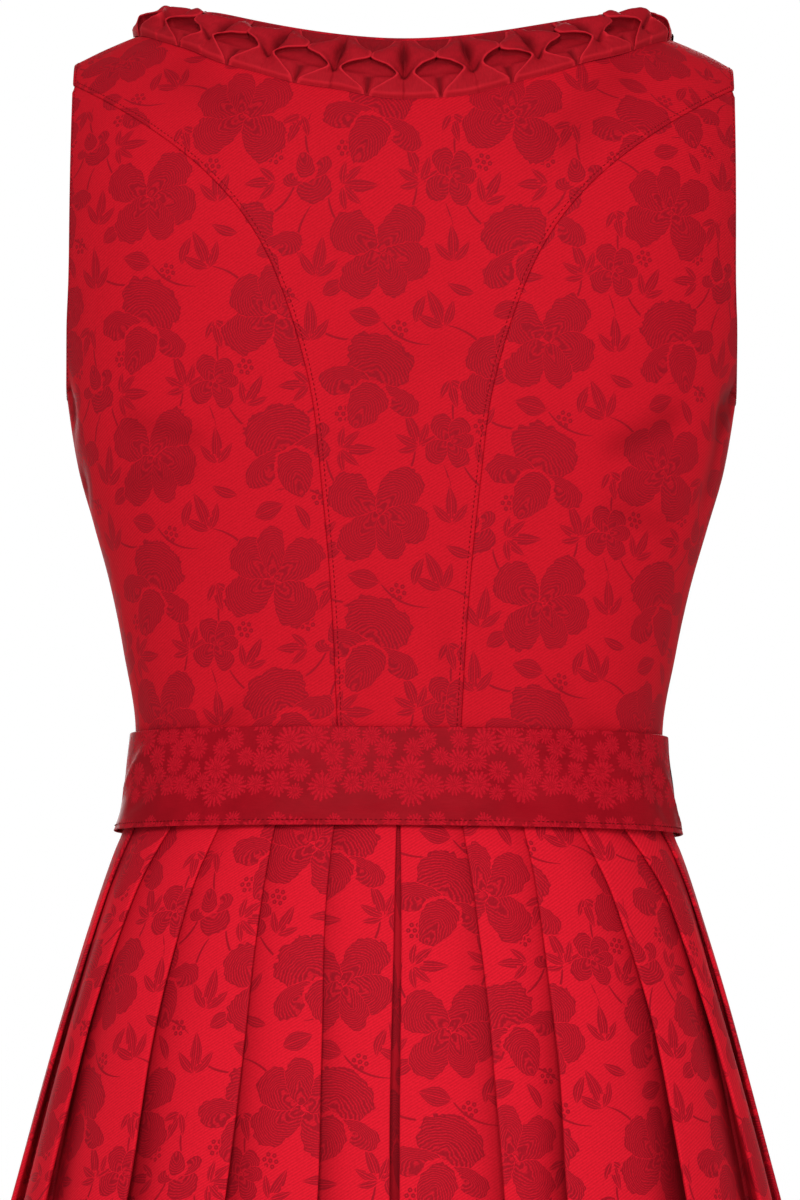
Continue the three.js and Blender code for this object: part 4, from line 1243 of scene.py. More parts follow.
@dataclass
class Panel:
    """A panel of the bodice, between four edges given as places on the figure."""

    name: str
    bottom: Array
    top: Array
    left: Array
    right: Array
    spacing: float
    offset: tuple[float, float]
    creases: tuple[Crease, ...] = ()
    mirror: bool = False
    seed: int = 1
    up_turn: Callable[[Array], Array] = lambda t: t
    up_climb: Callable[[Array], Array] = lambda t: t
    least_width: float = 4.5
    unevenness: float = 0.28
    pucker_inset: float = 2.1

    def places(self, s: Array, t: Array) -> Array:
        """Places inside the panel: the blends of both pairs of edges, less the corners' blend.

        Args:
            s: shares of the way across, from the left edge.
            t: shares of the way up, of the same shape.

        Returns:
            Places on the figure.
        """
        up = stacked(self.up_turn(t), self.up_climb(t))
        across = s[..., None]
        upright = along(self.bottom, s) * (1 - up) + along(self.top, s) * up
        level = along(self.left, t) * (1 - across) + along(self.right, t) * across
        low = self.bottom[0] * (1 - across) + self.bottom[-1] * across
        high = self.top[0] * (1 - across) + self.top[-1] * across
        return upright + level - (low * (1 - up) + high * up)

    def shares(self, length: Array, count: int) -> tuple[Array, Array, Array]:
        """Shares across for turned-in edges and an even middle, with lift and edge distance.

        Args:
            length: distance across, one for each row.
            count: number of stretches in the middle.

        Returns:
            Shares (rows, columns), lifts (columns) and distances from the nearer edge
            (rows, columns).
        """
        turned = np.array(TURN_IN + ROLL_OVER)
        near = turned[:, 0][None] / length[:, None]
        inner = turned[-1, 0] / length[:, None]
        middle = inner + (1 - 2 * inner) * np.linspace(0, 1, count + 1)[None]
        share = np.concatenate([near[:, :-1], middle, 1 - near[:, -2::-1]], 1)
        lift = np.concatenate([turned[:-1, 1], np.zeros(count + 1), turned[-2::-1, 1]])
        return share, lift, np.minimum(share, 1 - share) * length[:, None]

    def grid(self) -> tuple[Array, Array, Array]:
        """The panel's places, their lifts at the turned edges, and distances from the sides."""
        length = travelled(FIGURE.point(self.left[:, 0], self.left[:, 1]))[-1:]
        share, row_lift, _ = self.shares(length, int(length[0] / self.spacing))
        t = share[0][:, None]
        coarse = np.linspace(0, 1, 25)[None].repeat(len(t), 0)
        coarse = self.places(coarse, t.repeat(coarse.shape[1], 1))
        width = travelled(FIGURE.point(coarse[..., 0], coarse[..., 1]))[:, -1]
        width = np.maximum(width, self.least_width)
        count = int(np.percentile(width, 70) / self.spacing)
        share, column_lift, edge = self.shares(width, count)
        places = self.places(share, t.repeat(share.shape[1], 1))
        return places, np.minimum(column_lift[None], row_lift[:, None]), edge

    def build(self, finish: Material, weave: Weave) -> Piece:
        """Makes the panel's mesh: soft creases over its middle, puckers beside its seams.

        Args:
            finish: its material.
            weave: the figures woven into it.

        Returns:
            The panel.
        """
        places, lift, edge = self.grid()
        u = FIGURE.flat(places[..., 0], places[..., 1])
        v = places[..., 1]
        sag = creased(u, v, self.creases) + self.unevenness * soft_noise(u, v, self.seed, 70.0)
        pulled = 0.10 + 0.10 * soft_noise(u * 0.3, v, self.seed + 5, 9.0)
        soft = smooth(edge, 0.5, 12)
        points = FIGURE.lifted(places, lift + sag * soft - bell(edge, self.pucker_inset, 1.0) * pulled)
        uv = np.stack([u + self.offset[0], v + self.offset[1]], -1)
        if self.mirror:
            uv = uv * (-1, 1) + (self.offset[0] * 0.37, 0)
        row = places[len(places) // 2, :, 0]
        flip = (row[-1] > row[0]) != self.mirror
        # painted shade in the creases
        tone = np.clip(sag / 4, -0.6, 0) * soft
        return cloth_object(self.name, mirrored(points, self.mirror), finish, uv, flip, weave, tone)


BACK_CREASES = (
    Crease(-30, -268, -22, -200, 9, 0.5), Crease(26, -262, 20, -190, 8, 0.4),
    Crease(-120, 92, -70, 30, 16, 0.8), Crease(118, 96, 74, 40, 15, 0.8),
    Crease(-60, -60, 40, -82, 18, 0.4),
)
SIDE_CREASES = (
    (
        Crease(150, -96, 92, -112, 8, 0.9), Crease(152, -132, 96, -124, 9, 0.7),
        Crease(120, -262, 70, -236, 8, 0.8), Crease(188, -96, 236, -62, 11, 2.0),
        Crease(238, -150, 180, -118, 10, 1.5),
    ),
    (
        Crease(150, -90, 98, -116, 9, 1.1), Crease(150, -150, 100, -140, 9, 0.8),
        Crease(118, -258, 74, -226, 9, 0.7), Crease(176, -94, 236, -66, 9, 2.6),
        Crease(186, -80, 170, -140, 8, 1.3),
    ),
)
FRONT_CREASES = (Crease(250, -120, 300, -170, 12, 0.8), Crease(300, -250, 270, -200, 9, 0.6))
SIDES = (("left", False), ("right", True))


@dataclass
class Bodice:
    """The seven panels of the bodice and the stitching beside their seams."""

    cloth: Material
    thread: Material
    weave: Weave
    spacing: float = 2.2
    front_spacing: float = 2.5
    stitch: float = 2.45

    def seam(self, table: Sequence[tuple[float, float]], front: bool) -> Array:
        """A princess seam's places, from the waist up."""
        line = smooth_line(table)
        return FIGURE.spaced(FIGURE.place_at(line[:, 0], line[:, 1], front))

    def outer_edge(self, seam: Array, height: float, front: bool) -> Array:
        """A seam's places, and on from its end along the armhole to the shoulder's ridge."""
        share = np.linspace(armhole_share(height), 1, 160)
        armhole = armhole_places(share, front)
        armhole[-1] = ridge_places(np.array(STRAP_END), front)
        return FIGURE.spaced(np.concatenate([seam, armhole[1:]]), 600)

    def side_edge(self, height: float, front: bool) -> Array:
        """Up the side seam and round the armhole to just short of the princess seam's end."""
        side = straight(np.array([90.0, BODICE_END - YOKE]), np.array([90.0, UNDERARM - YOKE]), 120)
        share = np.linspace(0, armhole_share(height - SIDE_PANEL_TIP), 200)
        return FIGURE.spaced(np.concatenate([side, armhole_places(share, front)[1:]]), 600)

    def back_panel(self, seam: Array) -> Panel:
        """The centre back, up to the neck's edge and the shoulders' ridges.

        Args:
            seam: the places of the princess seam.

        Returns:
            The panel.
        """
        flip = np.array([-1.0, 1.0])
        outer = self.outer_edge(seam, BACK_SEAM[-1][1], False)
        neck = FIGURE.spaced(back_edge(np.linspace(0, 1, 300), NECK))
        strap = ridge_places(np.linspace(NECK.half, STRAP_END, 80), False)
        top = FIGURE.spaced(np.concatenate([neck, strap[1:]]), 500)
        return Panel(
            "back_centre_panel", straight(seam[0] * flip, seam[0]),
            np.concatenate([(top * flip)[::-1], top[1:]]), outer * flip, outer,
            self.spacing, (13.0, 41.0), BACK_CREASES,
            up_turn=lambda t: (along(outer, t)[..., 0] / outer[-1, 0]) ** 2.5, up_climb=lambda t: t**6,
        )

    def front_panel(self, seam: Array, name: str, mirror: bool) -> Panel:
        """One front, from its centre to the princess seam.

        Args:
            seam: the places of the princess seam.
            name: the piece's name.
            mirror: builds it on the wearer's right.

        Returns:
            The panel.
        """
        centre = straight(np.array([180.0, BODICE_END - YOKE]), np.array([180.0, NECK.front - YOKE]), 200)
        neck = FIGURE.spaced(front_edge(np.linspace(0, 1, 400), NECK))
        inner = FIGURE.spaced(np.concatenate([centre, neck[1:]]), 600)
        return Panel(
            name, straight(inner[0], seam[0]), ridge_places(np.linspace(NECK.half, STRAP_END, 80), True),
            inner, self.outer_edge(seam, FRONT_SEAM[-1][1], True), self.front_spacing,
            (94.0, 20.0) if mirror else (7.0, 66.0), FRONT_CREASES, mirror, 7 + mirror,
        )

    def build(self) -> list[Piece]:
        """Builds all seven panels: the back's three, then front and side front of each side."""
        back, front = self.seam(BACK_SEAM, False), self.seam(FRONT_SEAM, True)
        back_side = self.side_edge(BACK_SEAM[-1][1], False)
        front_side = self.side_edge(FRONT_SEAM[-1][1], True)
        panels = [self.back_panel(back)]
        for side, mirror in SIDES:
            panels.append(Panel(
                f"back_side_panel_{side}", straight(back[0], back_side[0]), straight(back[-1], back_side[-1]),
                back, back_side, self.spacing, (61.0, 83.0) if mirror else (30.0, 12.0),
                SIDE_CREASES[mirror], mirror, 3 + mirror,
            ))
        for side, mirror in SIDES:
            panels.append(self.front_panel(front, f"front_panel_{side}", mirror))
            panels.append(Panel(
                f"front_side_panel_{side}", straight(front[0], front_side[0]),
                straight(front[-1], front_side[-1]), front, front_side, self.front_spacing,
                (31.0, 5.0) if mirror else (77.0, 102.0), (), mirror, 11 + mirror,
            ))
        return [panel.build(self.cloth, self.weave) for panel in panels]

    def line(self, places: Array, inset: float, lift: float = 0.02) -> tuple[Array, Array]:
        """A line that runs beside an edge at a constant distance on the body.

        Args:
            places: the edge's places.
            inset: distance from it, positive to the left of its direction seen from outside.
            lift: height over the surface.

        Returns:
            The line's points and the outward normals there.
        """
        spaced = FIGURE.spaced(places, 300)
        point = FIGURE.point(spaced[:, 0], spaced[:, 1])
        normal = FIGURE.normal(spaced[:, 0], spaced[:, 1])
        beside = unit(np.cross(normal, unit(np.gradient(point, axis=0))))
        return point + beside * inset + normal * lift, normal

    def stitch_all(self) -> list[Piece]:
        """Rows of stitches beside the princess seams and round the armholes."""
        rows = []
        share = np.linspace(0, 1, 400)
        for name, places, inset in (
            ("back_seam_stitches", self.seam(BACK_SEAM, False), -2.1),
            ("front_seam_stitches", self.seam(FRONT_SEAM, True), 2.1),
            ("back_armhole_stitches", armhole_places(share, False), -2.4),
            ("front_armhole_stitches", armhole_places(share, True), 2.4),
        ):
            line = self.line(places, inset)
            for side, mirror in SIDES:
                points, normals = (mirrored(part, mirror) for part in line)
                rows.append(stitches_object(f"{name}_{side}", points, normals, self.stitch, self.thread))
        return rows


# ---- ruching

SHIFTED = ((0, 0.36, 0.63, 1), (0, 0.45, 0.73, 1))
MOUTH = Column(
    [0.0, 0.18, 0.33, 0.38, 0.5, 0.63, 0.8, 0.95, 1.0],
    [0.36, 0.21, 0.015, 0.015, 0.26, 0.39, 0.23, 0.06, 0.045],
)
RIM = Column([0.0, 0.10, 0.22, 0.36, 0.63, 0.85, 1.0], [1.0, 1.5, 3.4, 5.6, 7.2, 5.0, 1.8])
FACE = Column([0.0, 0.10, 0.22, 0.36, 0.58, 0.70, 0.92, 1.0], [0.9, 1.3, 3.0, 4.0, 2.2, 4.2, 3.8, 1.4])
FLOOR = Column([0.0, 0.10, 0.25, 0.38, 0.58, 0.68, 0.82, 1.0], [0.8, 1.0, 2.6, 2.6, 2.4, 4.0, 3.2, 1.0])


@dataclass
class Ruching:
    """The frog-mouth ruching: a folded strip whose faces open into mouths between them.

    The tables above run across the strip, from the neck's edge (0) to its outer edge (1).
    They give the half width of a mouth as a share of the pitch, and the heights of a
    face's rim, of its middle and of the mouth's floor.

    A stretch of a fold is an array of rows across the strip and columns along it. Each
    place has its distance along in pitches, its height in millimetres and its tone: painted
    shade below 0 and a painted highlight above 0.
    """

    cloth: Material
    rows: int = 40
    face_columns: int = 14
    rim_columns: int = 6
    floor_columns: int = 9
    bare: float = 0.055
    rim_radius: float = 0.6
    width: float = 37.0
    widest: float = 0.43
    fullness: float = 1.9
    slack: float = 1.12
    least_height: float = 0.5
    edge_height: float = 0.25

    def face(
        self, w: Array, edge: Array, rim: Array, pitch: float, middle: Array, deep: float, full: float
    ) -> Array:
        """A face, from its middle to its rim.

        Args:
            w: shares across the strip, a column.
            edge: half width of the face as a share of the pitch.
            rim: height of its rim.
            pitch: length of a whole fold in millimetres.
            middle: height of its middle.
            deep: depth of the crease down its middle.
            full: how far it swells beside that crease.

        Returns:
            The face.
        """
        q = np.linspace(0, 1, self.face_columns)[None] ** 0.9
        fold = bell(w, 0.28, 0.24) * bell(q, 0, 0.15)
        cheek = full * bell(w, 0.30, 0.2) * np.sin(np.pi * q) ** 1.2
        valley = bell(w, 0.60 + 0.03 * np.cos(q * np.pi), 0.045) * (1 - 0.7 * q**2)
        ease = (q * q * (3 - 2 * q)) ** 1.4
        height = middle + (rim - middle) * ease - deep * fold + cheek - 1.4 * valley
        # tone: painted highlight along the rim, painted shade in the crease and in the valley
        tone = bell((1 - q) * edge * pitch, 0, 0.7) - 1.2 * fold - 0.95 * valley
        return stacked(edge * q, height, tone)

    def rolled(self, edge: Array, rim: Array, pitch: float) -> Array:
        """The rim's rounded fold, with a painted highlight along its top and painted shade as it turns under.
        """
        turn = np.linspace(0, np.pi, self.rim_columns + 1)[None, 1:]
        drop = 1 - np.cos(turn)
        tone = 0.9 * np.cos(turn / 2) - 0.6 * drop / 2
        return stacked(edge + self.rim_radius / pitch * np.sin(turn), rim - self.rim_radius * drop, tone)

    def mouth(self, w: Array, edge: Array, rim: Array, floor: Array, pitch: float, slip: float) -> Array:
        """A mouth's floor, from under the rim to its middle, with the slit and lip at its foot.

        Args:
            w: shares across the strip, a column.
            edge: half width of the face as a share of the pitch.
            rim: height of the face's rim.
            floor: height of the mouth's middle.
            pitch: length of a whole fold in millimetres.
            slip: shifts the small gathers at the neck's edge.

        Returns:
            The floor.
        """
        under = (2.6 / pitch) * smooth(0.5 - edge, 0.02, 0.2)
        p = np.linspace(0, 1, self.floor_columns + 1)[None, 1:]
        lip = smooth(w, 0.615, 0.665) * (1 - smooth(w, 0.93, 1.0))
        slit = lip * bell(1 - p, 0, 0.13)
        gather = 0.6 * (1 - smooth(w, 0.22, 0.34)) * np.cos(p * np.pi * 3 + slip * 40)
        start = np.minimum(rim - 2.2 * self.rim_radius, np.maximum(floor, 0.7))
        height = start + (floor - start) * smooth(p, 0.0, 0.22) + gather - 2.4 * slit + 0.7 * lip * (1 - p)
        back = edge - under
        near = bell(p * (0.5 - back) * pitch, 0, 2.6)
        # tone: painted shade on the mouth's floor, near the rim and in the slit, and a painted highlight on
        # the lip
        tone = -0.2 - 0.4 * near - 1.1 * slit - 0.3 * bell(w, 0.42, 0.07) + 0.3 * lip * (1 - near)
        tone = tone - 0.3 * (1 - smooth(w, 0.2, 0.34))
        return stacked(back + (0.5 - back) * p, np.maximum(height, self.least_height), tone)

    def half_fold(self, w: Array, chance: np.random.Generator, pitch: float, wild: float) -> Array:
        """Half of a fold, from a face's middle to a mouth's middle.

        Args:
            w: shares across the strip, one for each row.
            chance: the strip's own random numbers.
            pitch: length of a whole fold in millimetres.
            wild: how unruly the fold is, from 0.

        Returns:
            The half fold.
        """
        slip = chance.uniform(-0.03, 0.03) * (1 + 2 * wild)
        wide = chance.uniform(0.9, 1.1) * (1 + 0.15 * wild)
        high = chance.uniform(0.9, 1.12) * (1 + 0.45 * wild)
        w = np.interp(w, SHIFTED[1], SHIFTED[0])[:, None]
        at = np.clip(w + slip * np.sin(np.pi * w), 0, 1)
        edge = 0.5 - np.minimum(MOUTH(at) * wide, self.widest)
        rim = RIM(at) * high + wild * chance.uniform(0.5, 4.5) * bell(at, 0.27, 0.10)
        middle = FACE(at) * chance.uniform(0.88, 1.1) * (1 + 0.3 * wild)
        deep, full = 2.6 + 1.6 * chance.random(), 1.8 + 1.1 * chance.random()
        return np.concatenate([
            self.face(w, edge, rim, pitch, middle, deep, full), self.rolled(edge, rim, pitch),
            self.mouth(w, edge, rim, FLOOR(at), pitch, slip),
        ], 1)

    def strip(
        self, name: str, edges: Callable[[Edge], Array], seed: int, wild: Sequence[float],
        mirror: bool = False,
    ) -> Piece:
        """One stretch of the strip.

        Args:
            name: the piece's name.
            edges: gives the places of the strip's inner or outer edge.
            seed: picks its unevenness.
            wild: how unruly each fold is, one number for a fold.
            mirror: builds it on the wearer's right.

        Returns:
            The strip.
        """
        inner, outer = (FIGURE.spaced(edges(edge), 600) for edge in (NECK, STRIP_END))
        units = len(wild)
        chance = np.random.default_rng(seed)
        middle = np.linspace(0.055, 0.965, self.rows)
        w = np.concatenate([[0.02, 0.025, 0.035], middle, [0.985, 0.995, 0.999]])
        pitch = travelled(FIGURE.point(inner[:, 0], inner[:, 1]))[-1] / units * self.slack
        halves = []
        for k in range(units):
            halves.append(self.half_fold(w, chance, pitch, wild[k]) + (k, 0, 0))
            halves.append(self.half_fold(w, chance, pitch, wild[k])[:, -2::-1] * (-1, 1, 1) + (k + 1, 0, 0))
        at, height, tone = np.moveaxis(np.concatenate(halves, 1), -1, 0)
        w = w[:, None]
        unruly = np.interp(at, np.arange(units) + 0.5, wild)
        inside = smooth(np.minimum(at, units - at), 0, 0.7)
        at = at + 0.16 * unruly * np.sin(at * 2.9 + seed) * (w - 0.5) * inside
        fine = 0.22 * soft_noise(at * pitch, w * self.width, seed, 6.0)
        turned = np.minimum(1, np.minimum(smooth(w, 0.015, 0.06), 1 - smooth(w, 0.96, 1.0)))
        height = self.edge_height + (np.maximum(height + fine, self.least_height) - self.edge_height) * turned
        # painted highlight along the strip's outer edge and its neck edge
        painted_highlight_and_tarnish = 0.8 * (bell(w, 0.962, 0.012) + 0.5 * bell(w, 0.07, 0.015)) * (tone > -0.2)
        wander = 0.022 * np.sin(at * 2.1 + seed) + 0.012 * np.sin(at * 5.3 + seed)
        across = (self.bare + (1 - self.bare) * (w + wander * smooth(w, 0.8, 1.0)))[..., None]
        places = along(inner, at / units) * (1 - across) + along(outer, at / units) * across
        uv = stacked(at * pitch * self.fullness, w * self.width)
        onward = places[0, -1, 0] > places[0, 0, 0]
        return cloth_object(
            name, mirrored(FIGURE.lifted(places, height), mirror), self.cloth, uv, onward == mirror,
            tone=np.clip(tone + painted_highlight_and_tarnish, -1, 1),
        )

    def build(self) -> list[Piece]:
        """The back's strip and the two of the front."""
        def behind(edge: Edge) -> Array:
            """The back's edge, from shoulder to shoulder."""
            return back_edge(np.linspace(-1, 1, 900), edge)

        def before(edge: Edge) -> Array:
            """The front's edge, from the centre to the shoulder."""
            return front_edge(np.linspace(0, 1, 900), edge)

        wild = (0.9, 0.5, 0.2, 0, 0, 0.1, 0, 0.1, 0)
        return [
            self.strip("ruching_back", behind, 5, (1.0, 0.8, 0.3, 0.1, 0.0, 0.0, 0.0, 0.3, 0.6, 1.0)),
            self.strip("ruching_front_left", before, 9, wild),
            self.strip("ruching_front_right", before, 14, wild, True),
        ]


# ---- rings round the body


class Rings:
    """Level sections round the body: superellipses whose sizes follow a table of heights."""

    def __init__(self, table: Sequence[Sequence[float]], square: float) -> None:
        """Takes rows of height, half width, depth behind and depth in front."""
        heights, half, back, front = list(zip(*table))[:4]
        self.half = Column(heights, half)
        self.back = Column(heights, back)
        self.front = Column(heights, front)
        self.power = 2 / square

    def half_ring(self, z: Array) -> tuple[Array, Array]:
        """Points of the +X half of each section, and the length along it, (rows, 361)."""
        angle = np.linspace(0, np.pi, 361)[None]
        depth = np.where(np.cos(angle) >= 0, self.back(z)[:, None], self.front(z)[:, None])
        x = self.half(z)[:, None] * np.sin(angle) ** self.power
        point = np.stack([np.maximum(x, 0), depth * signed_power(np.cos(angle), self.power)], -1)
        return point, travelled(point)

    def length(self, z: Array) -> Array:
        """Half way round each section."""
        return self.half_ring(z)[1][:, -1]

    def points(self, z: Array, distance: Array, lift: Array) -> Array:
        """Points by distance from the centre back and height off the section.

        Args:
            z: height of each row.
            distance: (rows, columns), positive to +X. Past the centre front it goes on
                over the other side.
            lift: (rows, columns).

        Returns:
            (rows, columns, 3).
        """
        ring, length = self.half_ring(z)
        whole = 2 * length[:, -1:]
        wrapped = (distance + whole / 2) % whole - whole / 2
        side = np.where(wrapped < 0, -1.0, 1.0)
        reach = 3
        tangent = np.roll(ring, -reach, 1) - np.roll(ring, reach, 1)
        tangent[:, :reach] = (1.0, 0.0)
        tangent[:, -reach:] = (-1.0, 0.0)
        channels = np.concatenate([ring, unit(tangent)], -1)
        out = np.empty(distance.shape + (3,))
        for i, target in enumerate(np.abs(wrapped)):
            x, y, tx, ty = (np.interp(target, length[i], channel) for channel in channels[i].T)
            out[i] = stacked((x - ty * lift[i]) * side[i], y + tx * lift[i], z[i])
        return out


BAND_RINGS = Rings(
    [(-358, 133, 84, 102.6), (-371, 134.2, 85.5, 105.2), (-383, 135.6, 87.5, 107.2),
     (-395, 137.6, 90, 109.6), (-406, 140.6, 93, 112.4)], 2.2,
)
SKIRT_TABLE = [
    (-387, 129.6, 81.8, 100, 2, 12, 1), (-406, 134.4, 87, 105.4, 2.1, 12, 1),
    (-415, 138, 90.5, 108, 2.3, 12, 1), (-440, 146, 99, 115, 2.8, 12, 0.95),
    (-500, 163, 114, 126, 3.8, 11, 0.9), (-586, 185, 133, 141, 5, 8, 0.8),
    (-700, 212, 155, 160, 6.5, 1, 0.7), (-860, 246, 184, 187, 8.5, -9, 0.6),
    (-1000, 273, 208, 210, 9.6, -14, 0.5), (-1090, 288, 221, 224, 10, -17, 0.45),
]
SKIRT_RINGS = Rings(SKIRT_TABLE, 2.15)
REACH, LAP, CROWN = (
    Column([row[0] for row in SKIRT_TABLE], [row[column] for row in SKIRT_TABLE]) for column in (4, 5, 6)
)
FOLD_LEVELS = [-406, -440, -510, -586, -1090]
FOLDS_LEFT = [
    [0.03, 0.045, 0.055, 0.05, 0.26], [1, 1.01, 0.92, 0.83, 0.9], [1.94, 1.94, 1.91, 1.87, 1.95],
    [2.88, 3.07, 3.18, 3.07, 3.05], [3.82, 4.15, 4.42, 4.35, 4.1], [4.85, 5.08, 5.32, 5.36, 5.2],
    [5.9, 6, 6.12, 6.2, 6.1], [6.95, 7, 7.05, 7.12, 7.05], [8, 8, 7.95, 7.9, 8],
    [9, 9.05, 9.1, 9.12, 8.95], [10, 10, 10.05, 10.1, 10], [11, 11, 10.95, 10.9, 11],
]
FOLDS_RIGHT = [
    [0.03, 0.045, 0.055, 0.05, 0.26], [1, 1.08, 1.18, 1.2, 1.1], [1.97, 2, 2, 1.9, 2],
    [2.91, 3.2, 3.42, 3.38, 3.15], [3.8, 4.3, 4.58, 4.66, 4.3], [4.85, 5.2, 5.45, 5.6, 5.35],
    [5.9, 6.05, 6.2, 6.35, 6.2], [6.95, 7, 7.1, 7.2, 7.1], [8, 8, 8.05, 8.1, 8],
    [9, 8.98, 8.95, 8.95, 9.05], [10, 10, 9.95, 9.9, 10.05], [11, 11, 11, 11.05, 11],
]
DEPTHS_LEFT = (1, 1, 1.1, 1.3, 1.5, 1.2, 1, 1, 1, 1, 1, 1)
DEPTHS_RIGHT = (1, 1, 1.3, 1.75, 1.95, 1.45, 1, 1, 1, 1, 1, 1)


@dataclass
class Corner:
    """A corner of the folded section.

    It has a distance and a lift for every row, the radius that rounds it, the number of
    columns in the stretch before it, and the pleat that it belongs to.
    """

    distance: Array
    lift: Array
    radius: float
    steps: int
    pleat: int


@dataclass
class Skirt:
    """Twenty-four knife pleats that open towards the hem."""

    cloth: Material
    weave: Weave
    layer: float = 2.0
    outer: float = 0.7
    fold_pitch: float = 83.0
    back_pleats: int = 6
    hem_turn: float = 26.0

    def heights(self) -> Array:
        """Heights of the rows, close together where the skirt leaves the band."""
        upper = np.arange(SKIRT_TOP, -610, -3.2)
        lower = np.arange(-610, HEM + 3, -5.6)
        return np.concatenate([upper, lower, [HEM + 1.6, HEM + 0.5, HEM]])

    def corners(self, z: Array, folds: list[list[float]], seed: int, depths: Sequence[float]) -> list[Corner]:
        """The corners of one half's folded section, from the centre back to the centre front.

        Args:
            z: heights of the rows.
            folds: where each fold runs, counted in pleats.
            seed: picks the unevenness.
            depths: how deep the hollow beside each fold is, as a share of the usual.

        Returns:
            One corner at the start, then six for each pleat, and five for the last.
        """
        pitch = SKIRT_RINGS.length(z) / PLEATS
        opening = smooth(-z, 440, 760)
        reach = REACH(z) * (0.62 + 0.38 * opening)
        hollow = 0.35 + 0.5 * smooth(-z, 430, 760)
        lap, crown = LAP(z), CROWN(z)
        opened = np.clip((3 - lap) / 6, 0, 1)
        drift = smooth(-z, 420, 560)

        def uneven(k: int, spread: float, own_seed: int, scale: float) -> Array:
            """Noise down the skirt that each pleat has for itself."""
            return soft_noise(z, np.full_like(z, k * spread), own_seed, scale) * drift

        def fold_at(k: int) -> Array:
            """Distance of a fold from the centre back."""
            if k >= PLEATS:
                return PLEATS * pitch
            return Column(FOLD_LEVELS, folds[k])(z) * pitch + 1.1 * uneven(k, 37.0, seed, 190.0)

        corners = [Corner(np.maximum(fold_at(0) + lap - 1.5, 1), -reach + 0.4, 1.0, 1, 0)]
        for k in range(PLEATS):
            fold, following = fold_at(k), fold_at(k + 1)
            above = drift * (depths[k] - 1)
            swell = 1 + 0.16 * uneven(k, 53.0, seed + 1, 260.0)
            corners += [
                Corner(fold + lap + 1.5 * opened, self.layer - reach * (1 + above), 0.8, 1, k),
                Corner(fold - opened, reach - self.layer, 1.0, 2, k),
                Corner(fold, reach, 1.3, 1, k),
                Corner((fold + following) / 2, reach * crown * swell, 30.0, 5, k),
            ]
            if k + 1 < PLEATS:
                below = drift * (depths[k + 1] - 1)
                bottom = following + np.minimum(lap, 0) - 4 + 2 * below
                corners.append(Corner(bottom, -reach * (hollow + 0.9 * below), 11.0, 5, k))
                corners.append(Corner(following + lap, -reach * (1 + below), 1.0, 2, k))
            else:
                corners.append(Corner(following - 0.3, reach * crown * 0.8, 1.0, 4, k))
        return corners

    def section(self, corners: list[Corner]) -> tuple[Array, Array, Array, int]:
        """Columns along the folded section, with each corner rounded by a quadratic curve.

        Args:
            corners: what the method corners gives.

        Returns:
            Distance, lift and flat coordinate of every column, (rows, columns), and the
            column at which the back ends.
        """
        place = np.stack([stacked(corner.distance, corner.lift) for corner in corners], 1)
        gaps = np.linalg.norm(np.diff(place, axis=1), axis=-1)
        direction = np.diff(place, axis=1) / np.maximum(gaps, 1e-6)[..., None]
        samples, owner, fold_column = [place[:, :1]], [0], {}
        for i, corner in enumerate(corners[1:-1], 1):
            here = place[:, i][:, None]
            before = np.minimum(corner.radius, gaps[:, i - 1] * 0.46)[:, None]
            after = np.minimum(corner.radius, gaps[:, i] * 0.46)[:, None]
            start = here - (direction[:, i - 1] * before)[:, None]
            end = here + (direction[:, i] * after)[:, None]
            t = np.linspace(0, 1, corner.steps + 1)[1:][None, :, None]
            samples.append(samples[-1][:, -1:] * (1 - t) + start * t)
            arc = 7 if corner.radius > 5 else 5
            t = np.linspace(0, 1, arc + 1)[1:][None, :, None]
            samples.append(start * (1 - t) ** 2 + here * 2 * t * (1 - t) + end * t**2)
            owner += [corner.pleat] * corner.steps
            if i % 6 == 3:
                fold_column[corner.pleat] = len(owner) + arc // 2
            passed = arc // 2 if i % 6 == 0 else arc
            owner += [corner.pleat] * passed + [corner.pleat + 1] * (arc - passed)
        samples.append(place[:, -1:])
        owner.append(corners[-1].pleat)
        both = np.concatenate(samples, 1)
        length = travelled(both)
        flat = length - length[:, [fold_column[k] for k in owner]] + np.array(owner)[None] * self.fold_pitch
        return both[..., 0], both[..., 1], flat, owner.index(self.back_pleats)

    def half(
        self, folds: list[list[float]], side: int, seed: int, depths: Sequence[float]
    ) -> tuple[tuple[Array, Array, Array], int]:
        """One half's points, flat coordinates and painted shades, and the column at which the back ends.

        Args:
            folds: where each fold runs, counted in pleats.
            side: 1 on the wearer's left and -1 on the right.
            seed: picks the unevenness.
            depths: how deep the hollow beside each fold is, as a share of the usual.

        Returns:
            The three grids, whose last two rows turn in at the hem, and the column.
        """
        z = self.heights()
        distance, lift, flat, cut = self.section(self.corners(z, folds, seed, depths))
        reach = REACH(z)[:, None]
        # painted shade that deepens towards the hollows beside the folds
        tone = -0.95 * smooth((reach - lift) / (2 * reach), 0.2, 1.3)
        ripple = 0.35 * soft_noise(flat, z[:, None] * 0.5, seed + 4, 60.0)
        lift = lift + self.outer + ripple * smooth(-z, 410, 470)[:, None]
        points = SKIRT_RINGS.points(z, distance * side, lift)
        inside = SKIRT_RINGS.points(z[-1:] + 0.4, distance[-1:] * side, lift[-1:] - 1.0)
        tucked = SKIRT_RINGS.points(z[-1:] + self.hem_turn, distance[-4:-3] * side, lift[-4:-3] - 1.6)
        height = np.concatenate([z, [HEM - 1, HEM - self.hem_turn]])[:, None]
        flat, tone = (np.concatenate([grid, grid[-1:], grid[-1:]]) for grid in (flat, tone))
        return (np.concatenate([points, inside, tucked]), stacked(flat * side, height), tone), cut

